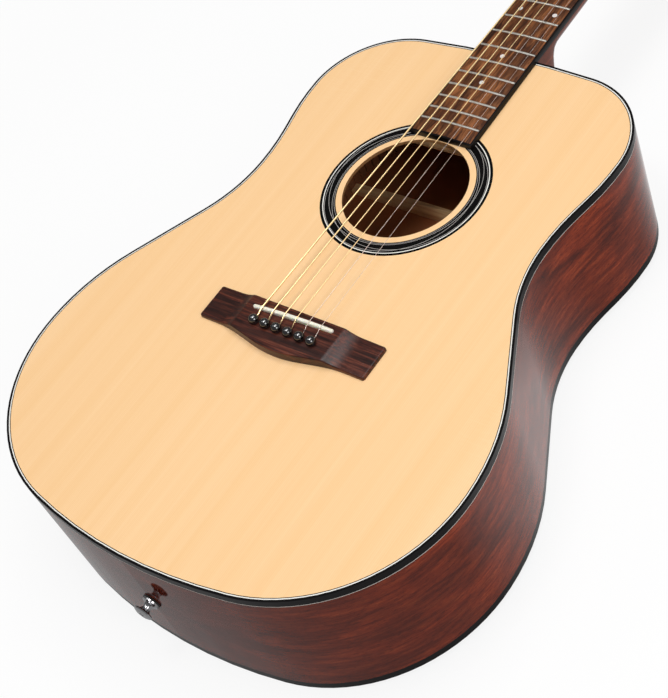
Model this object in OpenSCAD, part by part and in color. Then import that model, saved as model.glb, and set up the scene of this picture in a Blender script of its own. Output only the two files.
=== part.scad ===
// Steel-string acoustic guitar: flat-top body with wide shoulders, fourteen frets clear of the body,
// six strings on three-a-side geared tuners.
// Millimetres. The origin is the centre of the soundhole on the outer face of the soundboard,
// +Z points out of the soundboard, +Y towards the headstock and +X towards the treble side.

/* [Body] */
// Length of the body, from its tail to the neck
body_l = 502; // [490:1:514]
// Width across the lower bout
lower_bout_w = 395; // [384:1:404]
// Width across the waist
waist_w = 267; // [260:1:273]
// Width across the upper bout
upper_bout_w = 289; // [283:1:296]
// Depth of the body at the tail
tail_depth = 121; // [114:1:126]
// Depth of the body at the neck
neck_depth = 116; // [104:1:120]
// Distance from the soundhole's centre to the neck edge of the body
hole_to_neck = 149.4; // [146:0.2:156]
// Distance from the tail to the widest place of the lower bout
tail_to_bout = 141; // [137:1:147]
// Distance from the neck edge to the narrowest place of the waist
neck_to_waist = 166; // [158:1:172]
// Distance from the neck edge to the widest place of the upper bout
neck_to_shoulder = 75; // [72:1:79]
// Radius of the outline above the lower bout
bout_flank_r = 169; // [155:1:175]
// Radius of the waist towards the tail
waist_tail_r = 126; // [112:1:132]
// Radius of the waist towards the neck
waist_neck_r = 186; // [165:1:195]
// Radius of the outline below the upper bout
shoulder_flank_r = 184; // [165:1:195]
// How far the tail is flatter than a round bout
tail_flat = 6.7; // [5:0.1:9]
// How far the neck edge is flatter than a round shoulder
shoulder_flat = 3.4; // [2.6:0.1:4.5]
// Radius of the arch of the back
back_arch_r = 4500; // [3500:100:6000]

/* [Plates, sides and trim] */
// Thickness of the soundboard
top_t = 2.8; // [2.5:0.1:3.2]
// Thickness of the back
back_t = 2.6; // [2.3:0.1:3]
// Thickness of the sides
side_t = 2.5; // [2.3:0.1:3]
// Thickness of the plastic binding along the edges
binding_t = 1.8; // [1.4:0.1:2]
// Height of the binding on the sides
binding_h = 6.5; // [5:0.5:8]
// Width of the white purfling line inside the binding
white_line_w = 0.8; // [0.6:0.1:1.2]
// Width of the black purfling line inside the white one
black_line_w = 0.6; // [0.4:0.1:0.8]
// Depth that the purfling and the rosette are inlaid
inlay_t = 1.5; // [1.2:0.1:1.8]
// Width of the kerfed lining strips
lining_w = 6; // [5:0.5:8]
// Height of the kerfed lining strips
lining_h = 14; // [10:1:18]
// Distance between the saw cuts of the lining
kerf_pitch = 9; // [7:0.5:14]
// Width of one saw cut of the lining
kerf_w = 1; // [0.8:0.1:1.5]
// Wood left behind each saw cut of the lining
kerf_web = 1.2; // [1:0.1:2]

/* [Blocks and braces] */
// Width of the neck block
neck_block_w = 76; // [64:1:90]
// Length of the neck block along the body
neck_block_l = 46; // [38:1:50]
// Width of the tail block
tail_block_w = 64; // [50:1:80]
// Thickness of the tail block
tail_block_t = 18; // [14:1:22]
// Height of the X-brace at its crossing
x_brace_h = 15; // [12:0.5:18]
// Width of the X-brace
x_brace_w = 7.5; // [6:0.5:9]
// Angle of each leg of the X-brace from the centre line
x_brace_angle = 49; // [46:1:52]
// Distance from the soundhole's edge to the crossing of the X-brace
x_brace_gap = 26; // [22:1:32]
// Height of the brace above the soundhole
upper_brace_h = 19; // [15:1:21]
// Distance from the soundhole's edge to the brace above it
upper_brace_gap = 4; // [3:0.5:12]
// Height of the small braces of the soundboard
small_brace_h = 8; // [6:0.5:10]
// Width of the small braces of the soundboard
small_brace_w = 6; // [5:0.5:8]
// Height of the braces of the back
back_brace_h = 13; // [10:1:16]
// Length of the bridge plate along the body
bridge_plate_l = 38; // [34:1:44]
// Width of the bridge plate across the body
bridge_plate_w = 150; // [120:1:160]
// Thickness of the bridge plate
bridge_plate_t = 2.6; // [2:0.1:3]

/* [Soundhole and rosette] */
// Radius of the soundhole
hole_r = 50; // [47:0.5:51]
// Inner radius of the rosette
rosette_in_r = 55; // [53:0.5:57]
// Outer radius of the rosette
rosette_out_r = 67.7; // [65:0.1:70]
// Width of the bright rosette line
rosette_line_w = 1; // [0.6:0.1:1.4]
// Width of the fine rosette lines
rosette_fine_w = 0.4; // [0.3:0.1:0.5]
// How far the fine circles lie off centre
rosette_swing = 3.6; // [2:0.1:3.7]

/* [Scale and strings] */
// Scale length, from the nut to the saddle line before compensation
scale_l = 650; // [640:1:655]
// Distance from the soundhole's centre to the saddle line
hole_to_saddle = 139.3; // [136:0.1:142]
// Spread of the outer strings at the bridge pins
pin_spread = 54; // [51:0.5:56]
// Spread of the outer strings at the nut
nut_spread = 35.5; // [34:0.5:37]
// Height of the saddle's crest over the soundboard
saddle_top = 11.4; // [11:0.1:13]

/* [Bridge] */
// Width of the bridge from wing to wing
bridge_w = 155; // [148:1:162]
// Length of the bridge's wings along the body
bridge_l = 29.5; // [27:0.5:32]
// Height of the middle of the bridge
bridge_h = 8; // [7.5:0.1:9]
// Height of the wing tips
wing_h = 3; // [2.5:0.1:4]
// Half width of the raised middle
bridge_mid = 43; // [40:1:46]
// Length of the scooped ramp from the middle down to a wing
ramp_l = 17; // [14:1:22]
// How far the belly swells behind the wings
belly = 8; // [5:0.5:10]
// Distance from the bridge's front edge to the saddle line
front_to_saddle = 4.8; // [4.4:0.1:6]
// Distance from the saddle line to the row of pins
saddle_to_pins = 16; // [15.4:0.1:18]
// Length of the saddle
saddle_l = 73; // [68:1:78]
// Thickness of the saddle
saddle_t = 3; // [2.4:0.1:3.2]
// How far the bass end of the saddle is set back
saddle_set_back = 3.2; // [2:0.1:4]
// Radius of the pins' ball heads
pin_head_r = 4; // [3.6:0.1:4.3]
// Radius of the pins below their collar
pin_r = 2.6; // [2.4:0.1:2.8]
// Length of the pins below their collar
pin_l = 22; // [18:1:26]

/* [Neck and fingerboard] */
// Width of the fingerboard at the nut
nut_w = 42.4; // [41:0.1:44]
// Width of the fingerboard at its end over the soundhole
board_end_w = 57.8; // [56:0.1:60]
// Thickness of the fingerboard
board_t = 5.6; // [5:0.1:6.5]
// Radius of the fingerboard's playing surface
board_arch_r = 400; // [300:10:508]
// Thickness of the fingerboard's edge binding
board_binding_t = 1.6; // [1.2:0.1:2]
// Gap between the soundhole's edge and the end of the fingerboard
board_end_gap = 0.3; // [0.2:0.1:2]
// Number of frets
fret_count = 20; // [18:1:20]
// Height of the frets
fret_h = 1; // [0.8:0.1:1.3]
// Width of the frets
fret_w = 2; // [1.8:0.1:2.8]
// Thickness of the nut
nut_t = 6; // [4.5:0.5:6.5]
// Height of the strings over the nut's end of the fingerboard
nut_lift = 1.5; // [1.4:0.1:1.8]
// Radius of the position dots
dot_r = 2; // [1.8:0.1:2.6]
// Depth of the neck under the fingerboard at the nut
neck_nut_t = 15.5; // [14.5:0.1:17]
// Depth of the neck under the fingerboard at the heel
neck_heel_t = 16; // [15.5:0.1:18]
// Length of the heel under the neck
heel_l = 42; // [38:1:50]
// Length of the heel at its cap
heel_cap_l = 15; // [14:1:20]
// Width of the heel at its cap
heel_cap_w = 27; // [24:1:32]
// Thickness of the heel cap
heel_cap_t = 3; // [2:0.1:4]

/* [Headstock and tuners] */
// Angle of the headstock
head_angle = 14; // [11:1:16]
// Length of the headstock
head_l = 182; // [178:1:190]
// Width of the headstock at its root
head_root_w = 60; // [58:1:62]
// Width of the headstock near its tip
head_tip_w = 74; // [71:1:76]
// Thickness of the headstock with its veneer
head_t = 15.5; // [14:0.1:16]
// Thickness of the veneer on the headstock's face
veneer_t = 1.5; // [1:0.1:2]
// Distance from the nut to the first pair of tuner posts
first_post = 42; // [40:1:46]
// Distance between tuner posts along the headstock
post_pitch = 42; // [40:1:43]
// Distance of the posts from the centre line
post_side = 21; // [20:0.1:22]
// Radius of the tuner posts
post_r = 3.1; // [3:0.05:3.2]
// Teeth on the tuner's worm wheel
wheel_teeth = 14; // [12:1:16]
// Module of the worm gear
gear_m = 0.6; // [0.58:0.01:0.62]
// Length of a tuner button
button_l = 20; // [17:1:22]
// Width of a tuner button
button_w = 14; // [12:1:16]

/* [Strap button] */
// Radius of the strap button's rim
strap_r = 7.5; // [6.5:0.1:8.5]
// How far the strap button stands out of its washer
strap_l = 11; // [9:0.5:13]

/* [Hidden] */
$fn = 48;

// Clearances
eps = 0.05;                 // glued joints that are curved or easily cut
slip = 0.3;                 // pieces that pass close by without touching
run_fit = 0.05;             // radial clearance of turning shafts
over = 1;                   // how far a cutting shape passes the surface that it cuts
inlay_fit = 0.01;           // clearance of pieces that are let in flush
seat_fit = 0.02;            // clearance of flat faces that stand on each other
round_fn = 720;             // segments of the very large arch cylinders
arc_step = 4;               // degrees between the points of the outline

// Levels and stations along the body
neck_y = hole_to_neck;
tail_y = neck_y - body_l;
low_y = tail_y + tail_to_bout;
waist_y = neck_y - neck_to_waist;
up_y = neck_y - neck_to_shoulder;
low_hw = lower_bout_w / 2;
waist_hw = waist_w / 2;
up_hw = upper_bout_w / 2;
taper_a = atan((tail_depth - neck_depth) / body_l);
tan_inset = binding_t + white_line_w + black_line_w;
cavity_inset = side_t + lining_w + slip;

// Radii of the tangent arcs of the outline
low_r = tail_to_bout - tail_flat;
low_cx = low_hw - low_r;
tail_r = (low_cx * low_cx + tail_to_bout * tail_to_bout - low_r * low_r) / (2 * tail_flat);
tail_cy = tail_y + tail_r;
up_r = neck_to_shoulder - shoulder_flat;
up_cx = up_hw - up_r;
neck_r = (up_cx * up_cx + neck_to_shoulder * neck_to_shoulder - up_r * up_r) / (2 * shoulder_flat);
neck_cy = neck_y - neck_r;
// the largest radii for which a straight still joins two opposed arcs
low_step = low_hw - waist_hw;
low_sum = (low_step * low_step + pow(waist_y - low_y, 2)) / (2 * low_step);
flank_r = min(bout_flank_r, 0.55 * low_sum);
waist_low_r = min(waist_tail_r, 0.44 * low_sum);
up_step = up_hw - waist_hw;
up_sum = (up_step * up_step + pow(up_y - waist_y, 2)) / (2 * up_step);
waist_up_r = min(waist_neck_r, 0.495 * up_sum);
up_flank_r = min(shoulder_flank_r, 0.495 * up_sum);
low_v = [waist_hw + waist_low_r - (low_hw - flank_r), waist_y - low_y];
low_turn = atan2(low_v.y, low_v.x) - acos((flank_r + waist_low_r) / norm(low_v));
up_v = [waist_hw + waist_up_r - (up_hw - up_flank_r), up_y - waist_y];
up_turn = acos((up_flank_r + waist_up_r) / norm(up_v)) - atan2(up_v.y, up_v.x);

// Each station of the outline holds a point of the edge and the outward direction there.
function bulge(c, r, a0, a1, first = 1) =
    let (n = ceil(abs(a1 - a0) / arc_step))
    [for (i = [first : n]) let (a = a0 + (a1 - a0) * i / n)
        [c.x + r * cos(a), c.y + r * sin(a), cos(a), sin(a)]];
function hollow(c, r, a0, a1, first = 1) =
    let (n = ceil(abs(a1 - a0) / arc_step))
    [for (i = [first : n]) let (a = a0 + (a1 - a0) * i / n)
        [c.x - r * cos(a), c.y - r * sin(a), cos(a), sin(a)]];
rim = concat(
    bulge([0, tail_cy], tail_r, -90, atan2(low_y - tail_cy, low_cx), 0),
    bulge([low_cx, low_y], low_r, atan2(low_y - tail_cy, low_cx), 0),
    bulge([low_hw - flank_r, low_y], flank_r, 0, low_turn),
    hollow([waist_hw + waist_low_r, waist_y], waist_low_r, low_turn, 0, 0),
    hollow([waist_hw + waist_up_r, waist_y], waist_up_r, 0, up_turn),
    bulge([up_hw - up_flank_r, up_y], up_flank_r, up_turn, 0, 0),
    bulge([up_cx, up_y], up_r, 0, atan2(up_y - neck_cy, up_cx)),
    bulge([0, neck_cy], neck_r, atan2(up_y - neck_cy, up_cx), 90));
last = len(rim) - 1;
function inset(s, d) = [s[0] - d * s[2], s[1] - d * s[3]];
// distance run along the edge up to each station
run = [for (i = 0, s = 0; i <= last; s = s + norm(inset(rim[min(i + 1, last)], 0) - inset(rim[i], 0)),
            i = i + 1) s];
// half width of the body at y
function half_w(y) = lookup(y, [for (s = rim) [s[1], s[0]]]);
function rim_at(s) = [for (k = [0 : 3]) lookup(s, [for (i = [0 : last]) [run[i], rim[i][k]]])];

// Saddle, bridge and string places
saddle_y = -hole_to_saddle;
pins_y = saddle_y - saddle_to_pins;
bridge_front_y = saddle_y + front_to_saddle;
bridge_back_y = bridge_front_y - bridge_l;
plate_bottom = -top_t - bridge_plate_t;
nut_y = saddle_y + scale_l;
nut_back_y = nut_y + nut_t;
board_end_y = hole_r + board_end_gap;
string_nut_z = board_t + nut_lift;
string_d = [1.35, 1.07, 0.81, 0.61, 0.41, 0.30];
string_sides = 8;
string_slack = 0.15;        // room beside a string in its slot or flute
ball_r = 1.9;
ball_l = 3.2;
function fret_y(n) = saddle_y + scale_l * pow(2, -n / 12);
function string_pin_x(i) = pin_spread * (i / 5 - 0.5);
function string_nut_x(i) = nut_spread * (i / 5 - 0.5);
function board_hw(y) = nut_w / 2 + (board_end_w - nut_w) / 2 * (nut_y - y) / (nut_y - board_end_y);
ball_y = pins_y + pin_r + ball_r + 2 * eps;
ball_offset = 0.6;          // a string leaves its ball beside the ball's axis
slot_y = ball_y - ball_offset;
function saddle_line_y(x) = saddle_y - saddle_t / 2 - saddle_set_back * (0.5 - x / saddle_l);
function crest_z(x) = saddle_top - x * x / (2 * board_arch_r);
function saddle_x(i) = string_pin_x(i) * (nut_y - saddle_y) / (nut_y - pins_y)
    + string_nut_x(i) * (saddle_y - pins_y) / (nut_y - pins_y);

// Headstock frame: x across, y along from the nut, z out of the face
head_drop = 3.1;
head_z0 = board_t - head_drop;
bushing_r = 5;
bushing_fit = 0.1;
housing_h = 10;
wheel_h = 2.6;
wheel_depth = 4.6;          // how deep in the housing the wheel lies
wheel_r = wheel_teeth * gear_m / 2;
worm_r = 2.1;
tooth_out = 0.5;
tooth_in = 0.7;
worm_gap = 0.15;
worm_y = wheel_r + worm_r + worm_gap;
wheel_z = -head_t - wheel_depth;
worm_pitch = PI * gear_m;
post_top = 19;
winding_z = 9;
module head_frame() translate([0, nut_back_y, head_z0]) rotate([-head_angle, 0, 0]) children();
// posts 1 to 3 stand on the treble side from the nut outwards, posts 4 to 6 on the bass side
function post_sign(k) = k < 3 ? 1 : -1;
function post_y(k) = first_post + post_pitch * (k % 3);
function post_string(k) = k < 3 ? 5 - k : k - 3;
module at_post(k) head_frame() translate([post_sign(k) * post_side, post_y(k), 0])
    mirror([post_sign(k) < 0 ? 1 : 0, 0, 0]) children();
function head_to_row(p) = [p.x,
    nut_back_y + p.y * cos(head_angle) + p.z * sin(head_angle),
    head_z0 - p.y * sin(head_angle) + p.z * cos(head_angle)];

// A smooth skin through rings that all have the same number of points; each ring runs clockwise
// when it is seen from the ring after it
module skin(rings) {
    n = len(rings[0]);
    m = len(rings) - 1;
    points = [for (r = rings) each r];
    faces = concat(
        [[for (i = [n - 1 : -1 : 0]) i]],
        [[for (i = [0 : n - 1]) m * n + i]],
        [for (j = [0 : m - 1]) for (i = [0 : n - 1])
            let (a = j * n + i, b = j * n + (i + 1) % n) each [[a, b, b + n], [a, b + n, a + n]]]);
    polyhedron(points, faces);
}

// Plan shapes of the body
module plan(d) polygon(concat(
    [for (i = [0 : last]) inset(rim[i], d)],
    [for (i = [last - 1 : -1 : 1]) let (p = inset(rim[i], d)) [-p.x, p.y]]));
module strip(d0, d1) polygon(concat(
    [for (i = [0 : last]) inset(rim[i], d0)],
    [for (i = [last : -1 : 0]) inset(rim[i], d1)]));
module slab(z0, z1) translate([0, 0, z0]) linear_extrude(z1 - z0) children();
module both_sides() {
    children();
    mirror([1, 0, 0]) children();
}

// The space above the arched back, raised by d from the outer face of the back
arch_steps = 16;
arch_past = 20;             // how far the arch runs past the sides and the ends of the body
arch_hw = low_hw + arch_past;
arch_top = 1.33 * tail_depth;
module arch(d) translate([0, tail_y, -tail_depth]) rotate([taper_a, 0, 0])
    translate([0, body_l + arch_past, d]) rotate([90, 0, 0]) linear_extrude(body_l + 2 * arch_past)
        polygon(concat(
            [for (i = [-arch_steps : arch_steps]) let (x = arch_hw * i / arch_steps)
                [x, x * x / (2 * back_arch_r)]],
            [[arch_hw, arch_top], [-arch_hw, arch_top]]));
function back_z(y) = -tail_depth + (y - tail_y) * tan(taper_a);

// The tongue that locks the neck into its block, and the notch for it
tongue_l = 19;
tongue_w = 20;
tongue_flare = 3;
tongue_h = 74;
module tongue_plan(c) polygon([
    [-tongue_w / 2 - c, neck_y + over], [tongue_w / 2 + c, neck_y + over],
    [tongue_w / 2 + c, neck_y], [tongue_w / 2 + tongue_flare + c, neck_y - tongue_l - c],
    [-tongue_w / 2 - tongue_flare - c, neck_y - tongue_l - c], [-tongue_w / 2 - c, neck_y]]);
module tongue_notch() slab(-tail_depth - over, over) tongue_plan(slip);

// Holes for the bridge pins and the slots for the strings in front of them
module pin_holes() for (i = [0 : 5]) {
    translate([string_pin_x(i), pins_y, plate_bottom - over])
        cylinder(r = pin_r + eps, h = bridge_h - plate_bottom + 2 * over);
    translate([string_pin_x(i) - string_d[i] / 2 - string_slack, pins_y, plate_bottom - over])
        cube([string_d[i] + 2 * string_slack, slot_y - pins_y + string_d[i] / 2 + string_slack,
            bridge_h - plate_bottom + 2 * over]);
}

module soundboard() color("#f8cf98") difference() {
    union() {
        slab(-top_t, -inlay_t) plan(binding_t);
        slab(-inlay_t, 0) plan(tan_inset);
    }
    translate([0, 0, -top_t - over]) cylinder(r = hole_r, h = top_t + 2 * over);
    translate([0, 0, -inlay_t]) difference() {
        cylinder(r = rosette_out_r, h = inlay_t + over);
        translate([0, 0, -over]) cylinder(r = rosette_in_r, h = inlay_t + 3 * over);
    }
    pin_holes();
    tongue_notch();
}

module back() color("#5e2b1f") intersection() {
    difference() {
        arch(0);
        arch(back_t);
    }
    slab(-tail_depth - over, -neck_depth / 2) plan(binding_t);
}

module side() difference() {
    union() {
        intersection() {
            slab(-tail_depth - over, -binding_h) strip(0, side_t);
            arch(binding_h);
        }
        intersection() {
            slab(-tail_depth - over, -top_t) strip(binding_t, side_t);
            arch(back_t);
        }
    }
    tongue_notch();
    strap_hole();
}
module treble_side() color("#6a3426") side();
module bass_side() color("#6a3426") mirror([1, 0, 0]) side();

module top_binding() color("#17120f") difference() {
    both_sides() slab(-binding_h, 0) strip(0, binding_t);
    tongue_notch();
}

module back_binding() color("#17120f") both_sides() intersection() {
    difference() {
        arch(0);
        arch(binding_h);
    }
    slab(-tail_depth - over, -neck_depth / 2) strip(0, binding_t);
}

module purfling(d, w) difference() {
    both_sides() slab(-inlay_t, 0) strip(d, d + w);
    tongue_notch();
}
module purfling_white() color("#f1ead8") purfling(binding_t, white_line_w);
module purfling_black() color("#1c1714") purfling(binding_t + white_line_w, black_line_w);

// Lines of the rosette: a bright ring near the rim, a fine ring inside, and circles woven between them
weave_count = 3;
bright_edge = 2.6;
fine_edge = 1.1;
bright_r = rosette_out_r - bright_edge;
fine_r = rosette_in_r + fine_edge;
weave_r = (bright_r + fine_r) / 2;
module ring(r, w, h) difference() {
    cylinder(r = r + w / 2, h = h, $fn = 96);
    translate([0, 0, -over]) cylinder(r = r - w / 2, h = h + 2 * over, $fn = 96);
}
module line_rings(c, z0, h) translate([0, 0, z0]) {
    ring(bright_r, rosette_line_w + 2 * c, h);
    ring(fine_r, rosette_fine_w + 2 * c, h);
    for (k = [0 : weave_count - 1]) rotate(k * 360 / weave_count) translate([rosette_swing, 0, 0])
        ring(weave_r, rosette_fine_w + 2 * c, h);
}
line_t = 0.6;
module rosette_band() color("#1a1613") difference() {
    translate([0, 0, -inlay_t]) difference() {
        cylinder(r = rosette_out_r, h = inlay_t);
        translate([0, 0, -over]) cylinder(r = rosette_in_r, h = inlay_t + 2 * over);
    }
    line_rings(inlay_fit, -line_t, line_t + over);
}
module rosette_lines() color("#e9e6dc") line_rings(0, -line_t + inlay_fit, line_t - inlay_fit);

// Kerfed lining: a strip with saw cuts from its inner side
module kerfed(s0, s1) {
    cuts = floor((s1 - s0 - kerf_pitch / 2) / kerf_pitch);
    outer = concat([rim_at(s0)], [for (i = [0 : last]) if (run[i] > s0 + slip && run[i] < s1 - slip) rim[i]],
        [rim_at(s1)]);
    inner = concat([inset(rim_at(s0), side_t + lining_w)],
        [for (k = [1 : cuts]) let (s = s0 + k * kerf_pitch) each [
            inset(rim_at(s), side_t + lining_w), inset(rim_at(s), side_t + kerf_web),
            inset(rim_at(s + kerf_w), side_t + kerf_web), inset(rim_at(s + kerf_w), side_t + lining_w)]],
        [inset(rim_at(s1), side_t + lining_w)]);
    polygon(concat([for (s = outer) inset(s, side_t + eps)], [for (i = [len(inner) - 1 : -1 : 0]) inner[i]]));
}
lining_start = tail_block_w / 2 + over;
lining_end = run[last] - neck_block_w / 2 - over;
module top_linings() color("#c89a68") both_sides()
    slab(-top_t - lining_h, -top_t) kerfed(lining_start, lining_end);
module back_linings() color("#c89a68") both_sides() intersection() {
    difference() {
        arch(back_t + eps);
        arch(back_t + lining_h);
    }
    slab(-tail_depth - over, -neck_depth / 2) kerfed(lining_start, lining_end);
}

rod_z = -7.6;
rod_r = 3;
module neck_block() color("#8a5538") difference() {
    intersection() {
        slab(-tail_depth - over, -top_t) plan(side_t + eps);
        translate([-neck_block_w / 2, neck_y - neck_block_l, -tail_depth - over])
            cube([neck_block_w, neck_block_l + over, tail_depth + over]);
        arch(back_t + eps);
    }
    slab(-tongue_h - slip, over) tongue_plan(slip);
    translate([0, neck_y + over, rod_z]) rotate([90, 0, 0])
        cylinder(r = rod_r + slip, h = neck_block_l + 3 * over);
}

strap_z = -tail_depth / 2 - 1;
strap_shank_r = 2;
module strap_hole() translate([0, tail_y - over, strap_z]) rotate([-90, 0, 0])
    cylinder(r = strap_shank_r + run_fit, h = tail_block_t + over);
module tail_block() color("#8a5538") difference() {
    intersection() {
        slab(-tail_depth - over, -top_t) plan(side_t + eps);
        translate([-tail_block_w / 2, tail_y - over, -tail_depth - over])
            cube([tail_block_w, side_t + tail_block_t + over, tail_depth + over]);
        arch(back_t + eps);
    }
    translate([0, tail_y - over, strap_z]) rotate([-90, 0, 0])
        cylinder(r = strap_shank_r + run_fit, h = strap_screw_l + 3 * over);
}

// A brace along +Y under z = 0: its height falls in a curve from the middle to its thin ends
brace_tip = 2;
upper_brace_tip = 7;
brace_steps = 8;
// the section of a brace: half widths and depths as shares of its width and height
brace_section = [[0.5, 0.55], [0.31, 0.85], [0.125, 1]];
brace_curve = 2.4;          // how late the height falls towards the ends
function brace_fall(t, h, tip) = -tip - (h - tip) * (1 - pow(abs(t), brace_curve));
module brace(l0, l1, w, h, tip = brace_tip) intersection() {
    rotate([90, 0, 90]) translate([0, 0, -w / 2]) linear_extrude(w) polygon(concat(
        [[-l0, 0]],
        [for (i = [-brace_steps : brace_steps]) let (t = i / brace_steps)
            [t < 0 ? t * l0 : t * l1, brace_fall(t, h, tip)]],
        [[l1, 0]]));
    translate([0, l1, 0]) rotate([90, 0, 0]) linear_extrude(l0 + l1) polygon(concat(
        [[-w / 2, 0]],
        [for (p = brace_section) [-w * p.x, -h * p.y]],
        [for (i = [len(brace_section) - 1 : -1 : 0]) [w * brace_section[i].x, -h * brace_section[i].y]],
        [[w / 2, 0]]));
}
module inside_top() intersection() {
    slab(-tail_depth, -top_t) plan(cavity_inset);
    children();
}
x_cross_y = -hole_r - x_brace_gap;
leg_low_gap = 6;            // the lower legs stop short of the widest place
leg_up_past = 4;            // the upper legs run on past the narrowest place
x_leg_low = (low_hw - cavity_inset) / sin(x_brace_angle) - leg_low_gap;
x_leg_up = (waist_hw - cavity_inset) / sin(x_brace_angle) + leg_up_past;
module x_brace(s) inside_top() translate([0, x_cross_y, -top_t]) rotate(s * x_brace_angle)
    brace(x_leg_low, x_leg_up, x_brace_w, x_brace_h);
module lap(z0, z1, s) translate([0, x_cross_y, 0]) rotate(s * x_brace_angle)
    translate([-x_brace_w / 2 - eps, -2 * x_brace_w, z0]) cube([x_brace_w + 2 * eps, 4 * x_brace_w, z1 - z0]);
module x_brace_bass() color("#dcb57f") difference() {
    x_brace(1);
    lap(-top_t - x_brace_h - over, -top_t - x_brace_h / 2, -1);
}
module x_brace_treble() color("#dcb57f") difference() {
    x_brace(-1);
    lap(-top_t - x_brace_h / 2 - eps, -top_t + over, 1);
}

// The upper brace crosses above the soundhole and has a hole for the truss rod key
upper_brace_more = 4;       // how much wider it is than the X-brace
upper_brace_w = x_brace_w + upper_brace_more;
upper_brace_y = hole_r + upper_brace_gap + upper_brace_w / 2;
key_hole_r = 6;
key_hole_drop = 1.5;
module upper_brace() color("#dcb57f") difference() {
    inside_top() translate([0, upper_brace_y, -top_t]) rotate(90)
        brace(half_w(upper_brace_y), half_w(upper_brace_y), upper_brace_w, upper_brace_h,
                upper_brace_tip);
    translate([0, upper_brace_y + upper_brace_w, rod_z - key_hole_drop]) rotate([90, 0, 0])
        cylinder(r = key_hole_r, h = 2 * upper_brace_w);
}

// Tone bars and finger braces lean on the X below it, and a flat brace stands on each side of the
// soundhole between the X and the upper brace
tone_gap = 12;
tone_room = pins_y - bridge_plate_l / 2 - tail_y - side_t - tail_block_t;
tone_pitch = 0.24 * tone_room;
// how far each tone bar runs across and down, as shares of the half width and of its room
tone_runs = [[0.69, 0.39], [0.98, 0.55]];
finger_angle = 82;
finger_gaps = [16, 56];
hole_brace_gap = 16;
finger_end = side_t + lining_w + 5;
leg_clear = (x_brace_w + small_brace_w) / 2 / cos(x_brace_angle) + slip;
// where the lower legs of the X run: their distance from the centre line at y, and the reverse
function leg_x(y) = abs(x_cross_y - y) * tan(x_brace_angle);
function leg_y(x) = x_cross_y + x / tan(x_brace_angle);
module small_from(x, y, a, l) translate([x, y, -top_t]) rotate(a)
    translate([0, l / 2, 0]) brace(l / 2, l / 2, small_brace_w, small_brace_h);
module small_braces() color("#dcb57f") inside_top() {
    for (k = [0, 1])
        let (y = pins_y - bridge_plate_l / 2 - tone_gap - k * tone_pitch)
        let (run = [low_hw * tone_runs[k].x, tone_room * tone_runs[k].y])
            small_from(leg_clear - leg_x(y), y, -180 + atan2(run.x, run.y), norm(run));
    for (s = [-1, 1]) {
        for (g = finger_gaps) let (y = low_y + g)
            small_from(s * (leg_x(y) + leg_clear), y, -s * finger_angle,
                half_w(y) - leg_x(y) - leg_clear - finger_end);
        let (x = hole_r + hole_brace_gap, y = leg_y(x) + leg_clear)
            small_from(s * x, y, 0, upper_brace_y - upper_brace_w / 2 - slip - y);
    }
}

plate_narrow = 30;          // how much its front edge is shorter at each end
module bridge_plate() color("#a9744c") difference() {
    let (hw = bridge_plate_w / 2, y0 = pins_y - bridge_plate_l / 2, y1 = pins_y + bridge_plate_l / 2)
    let (tip_y = x_cross_y - x_brace_w / 2 / sin(x_brace_angle) - over, fan = tip_y - y0 + over)
    intersection() {
        slab(plate_bottom, -top_t) polygon([
            [-hw, y0], [hw, y0], [hw - plate_narrow, y1], [plate_narrow - hw, y1]]);
        // the space between the lower legs of the X
        slab(plate_bottom - over, over) polygon([
            [0, tip_y], [fan * tan(x_brace_angle), tip_y - fan], [-fan * tan(x_brace_angle), tip_y - fan]]);
    }
    pin_holes();
}

brace_below_block = 42.4;
brace_below_waist = 3.4;
brace_above_bout = 108;
brace_below_bout = 12;
back_brace_ys = [neck_y - neck_block_l - brace_below_block, waist_y - brace_below_waist,
    low_y + brace_above_bout, low_y - brace_below_bout];
back_brace_w = 9;
strip_hw = 11;
strip_t = 2.5;
// the ends of a back brace are as thick as the arch rises there, and a little more
function back_tip(y) = back_t + pow(half_w(y), 2) / (2 * back_arch_r) + brace_tip;
module back_braces() color("#dcb57f") intersection() {
    union() for (y = back_brace_ys) translate([0, y, back_z(y)]) rotate([taper_a, 0, 0])
        mirror([0, 0, 1]) rotate(90)
            brace(half_w(y), half_w(y), back_brace_w, back_brace_h + back_t, back_tip(y));
    slab(-tail_depth, -top_t) plan(cavity_inset);
    arch(back_t + eps);
}
module back_strip() color("#dcb57f") difference() {
    intersection() {
        difference() {
            arch(back_t + eps);
            arch(back_t + strip_t);
        }
        let (y0 = tail_y + side_t + tail_block_t + slip, y1 = neck_y - neck_block_l - slip)
            slab(-tail_depth, -neck_depth / 2) translate([-strip_hw, y0]) square([2 * strip_hw, y1 - y0]);
    }
    for (y = back_brace_ys)
        translate([-strip_hw - over, y - back_brace_w / 2 - slip, -tail_depth - over])
            cube([2 * strip_hw + 2 * over, back_brace_w + 2 * slip, tail_depth]);
}

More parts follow.
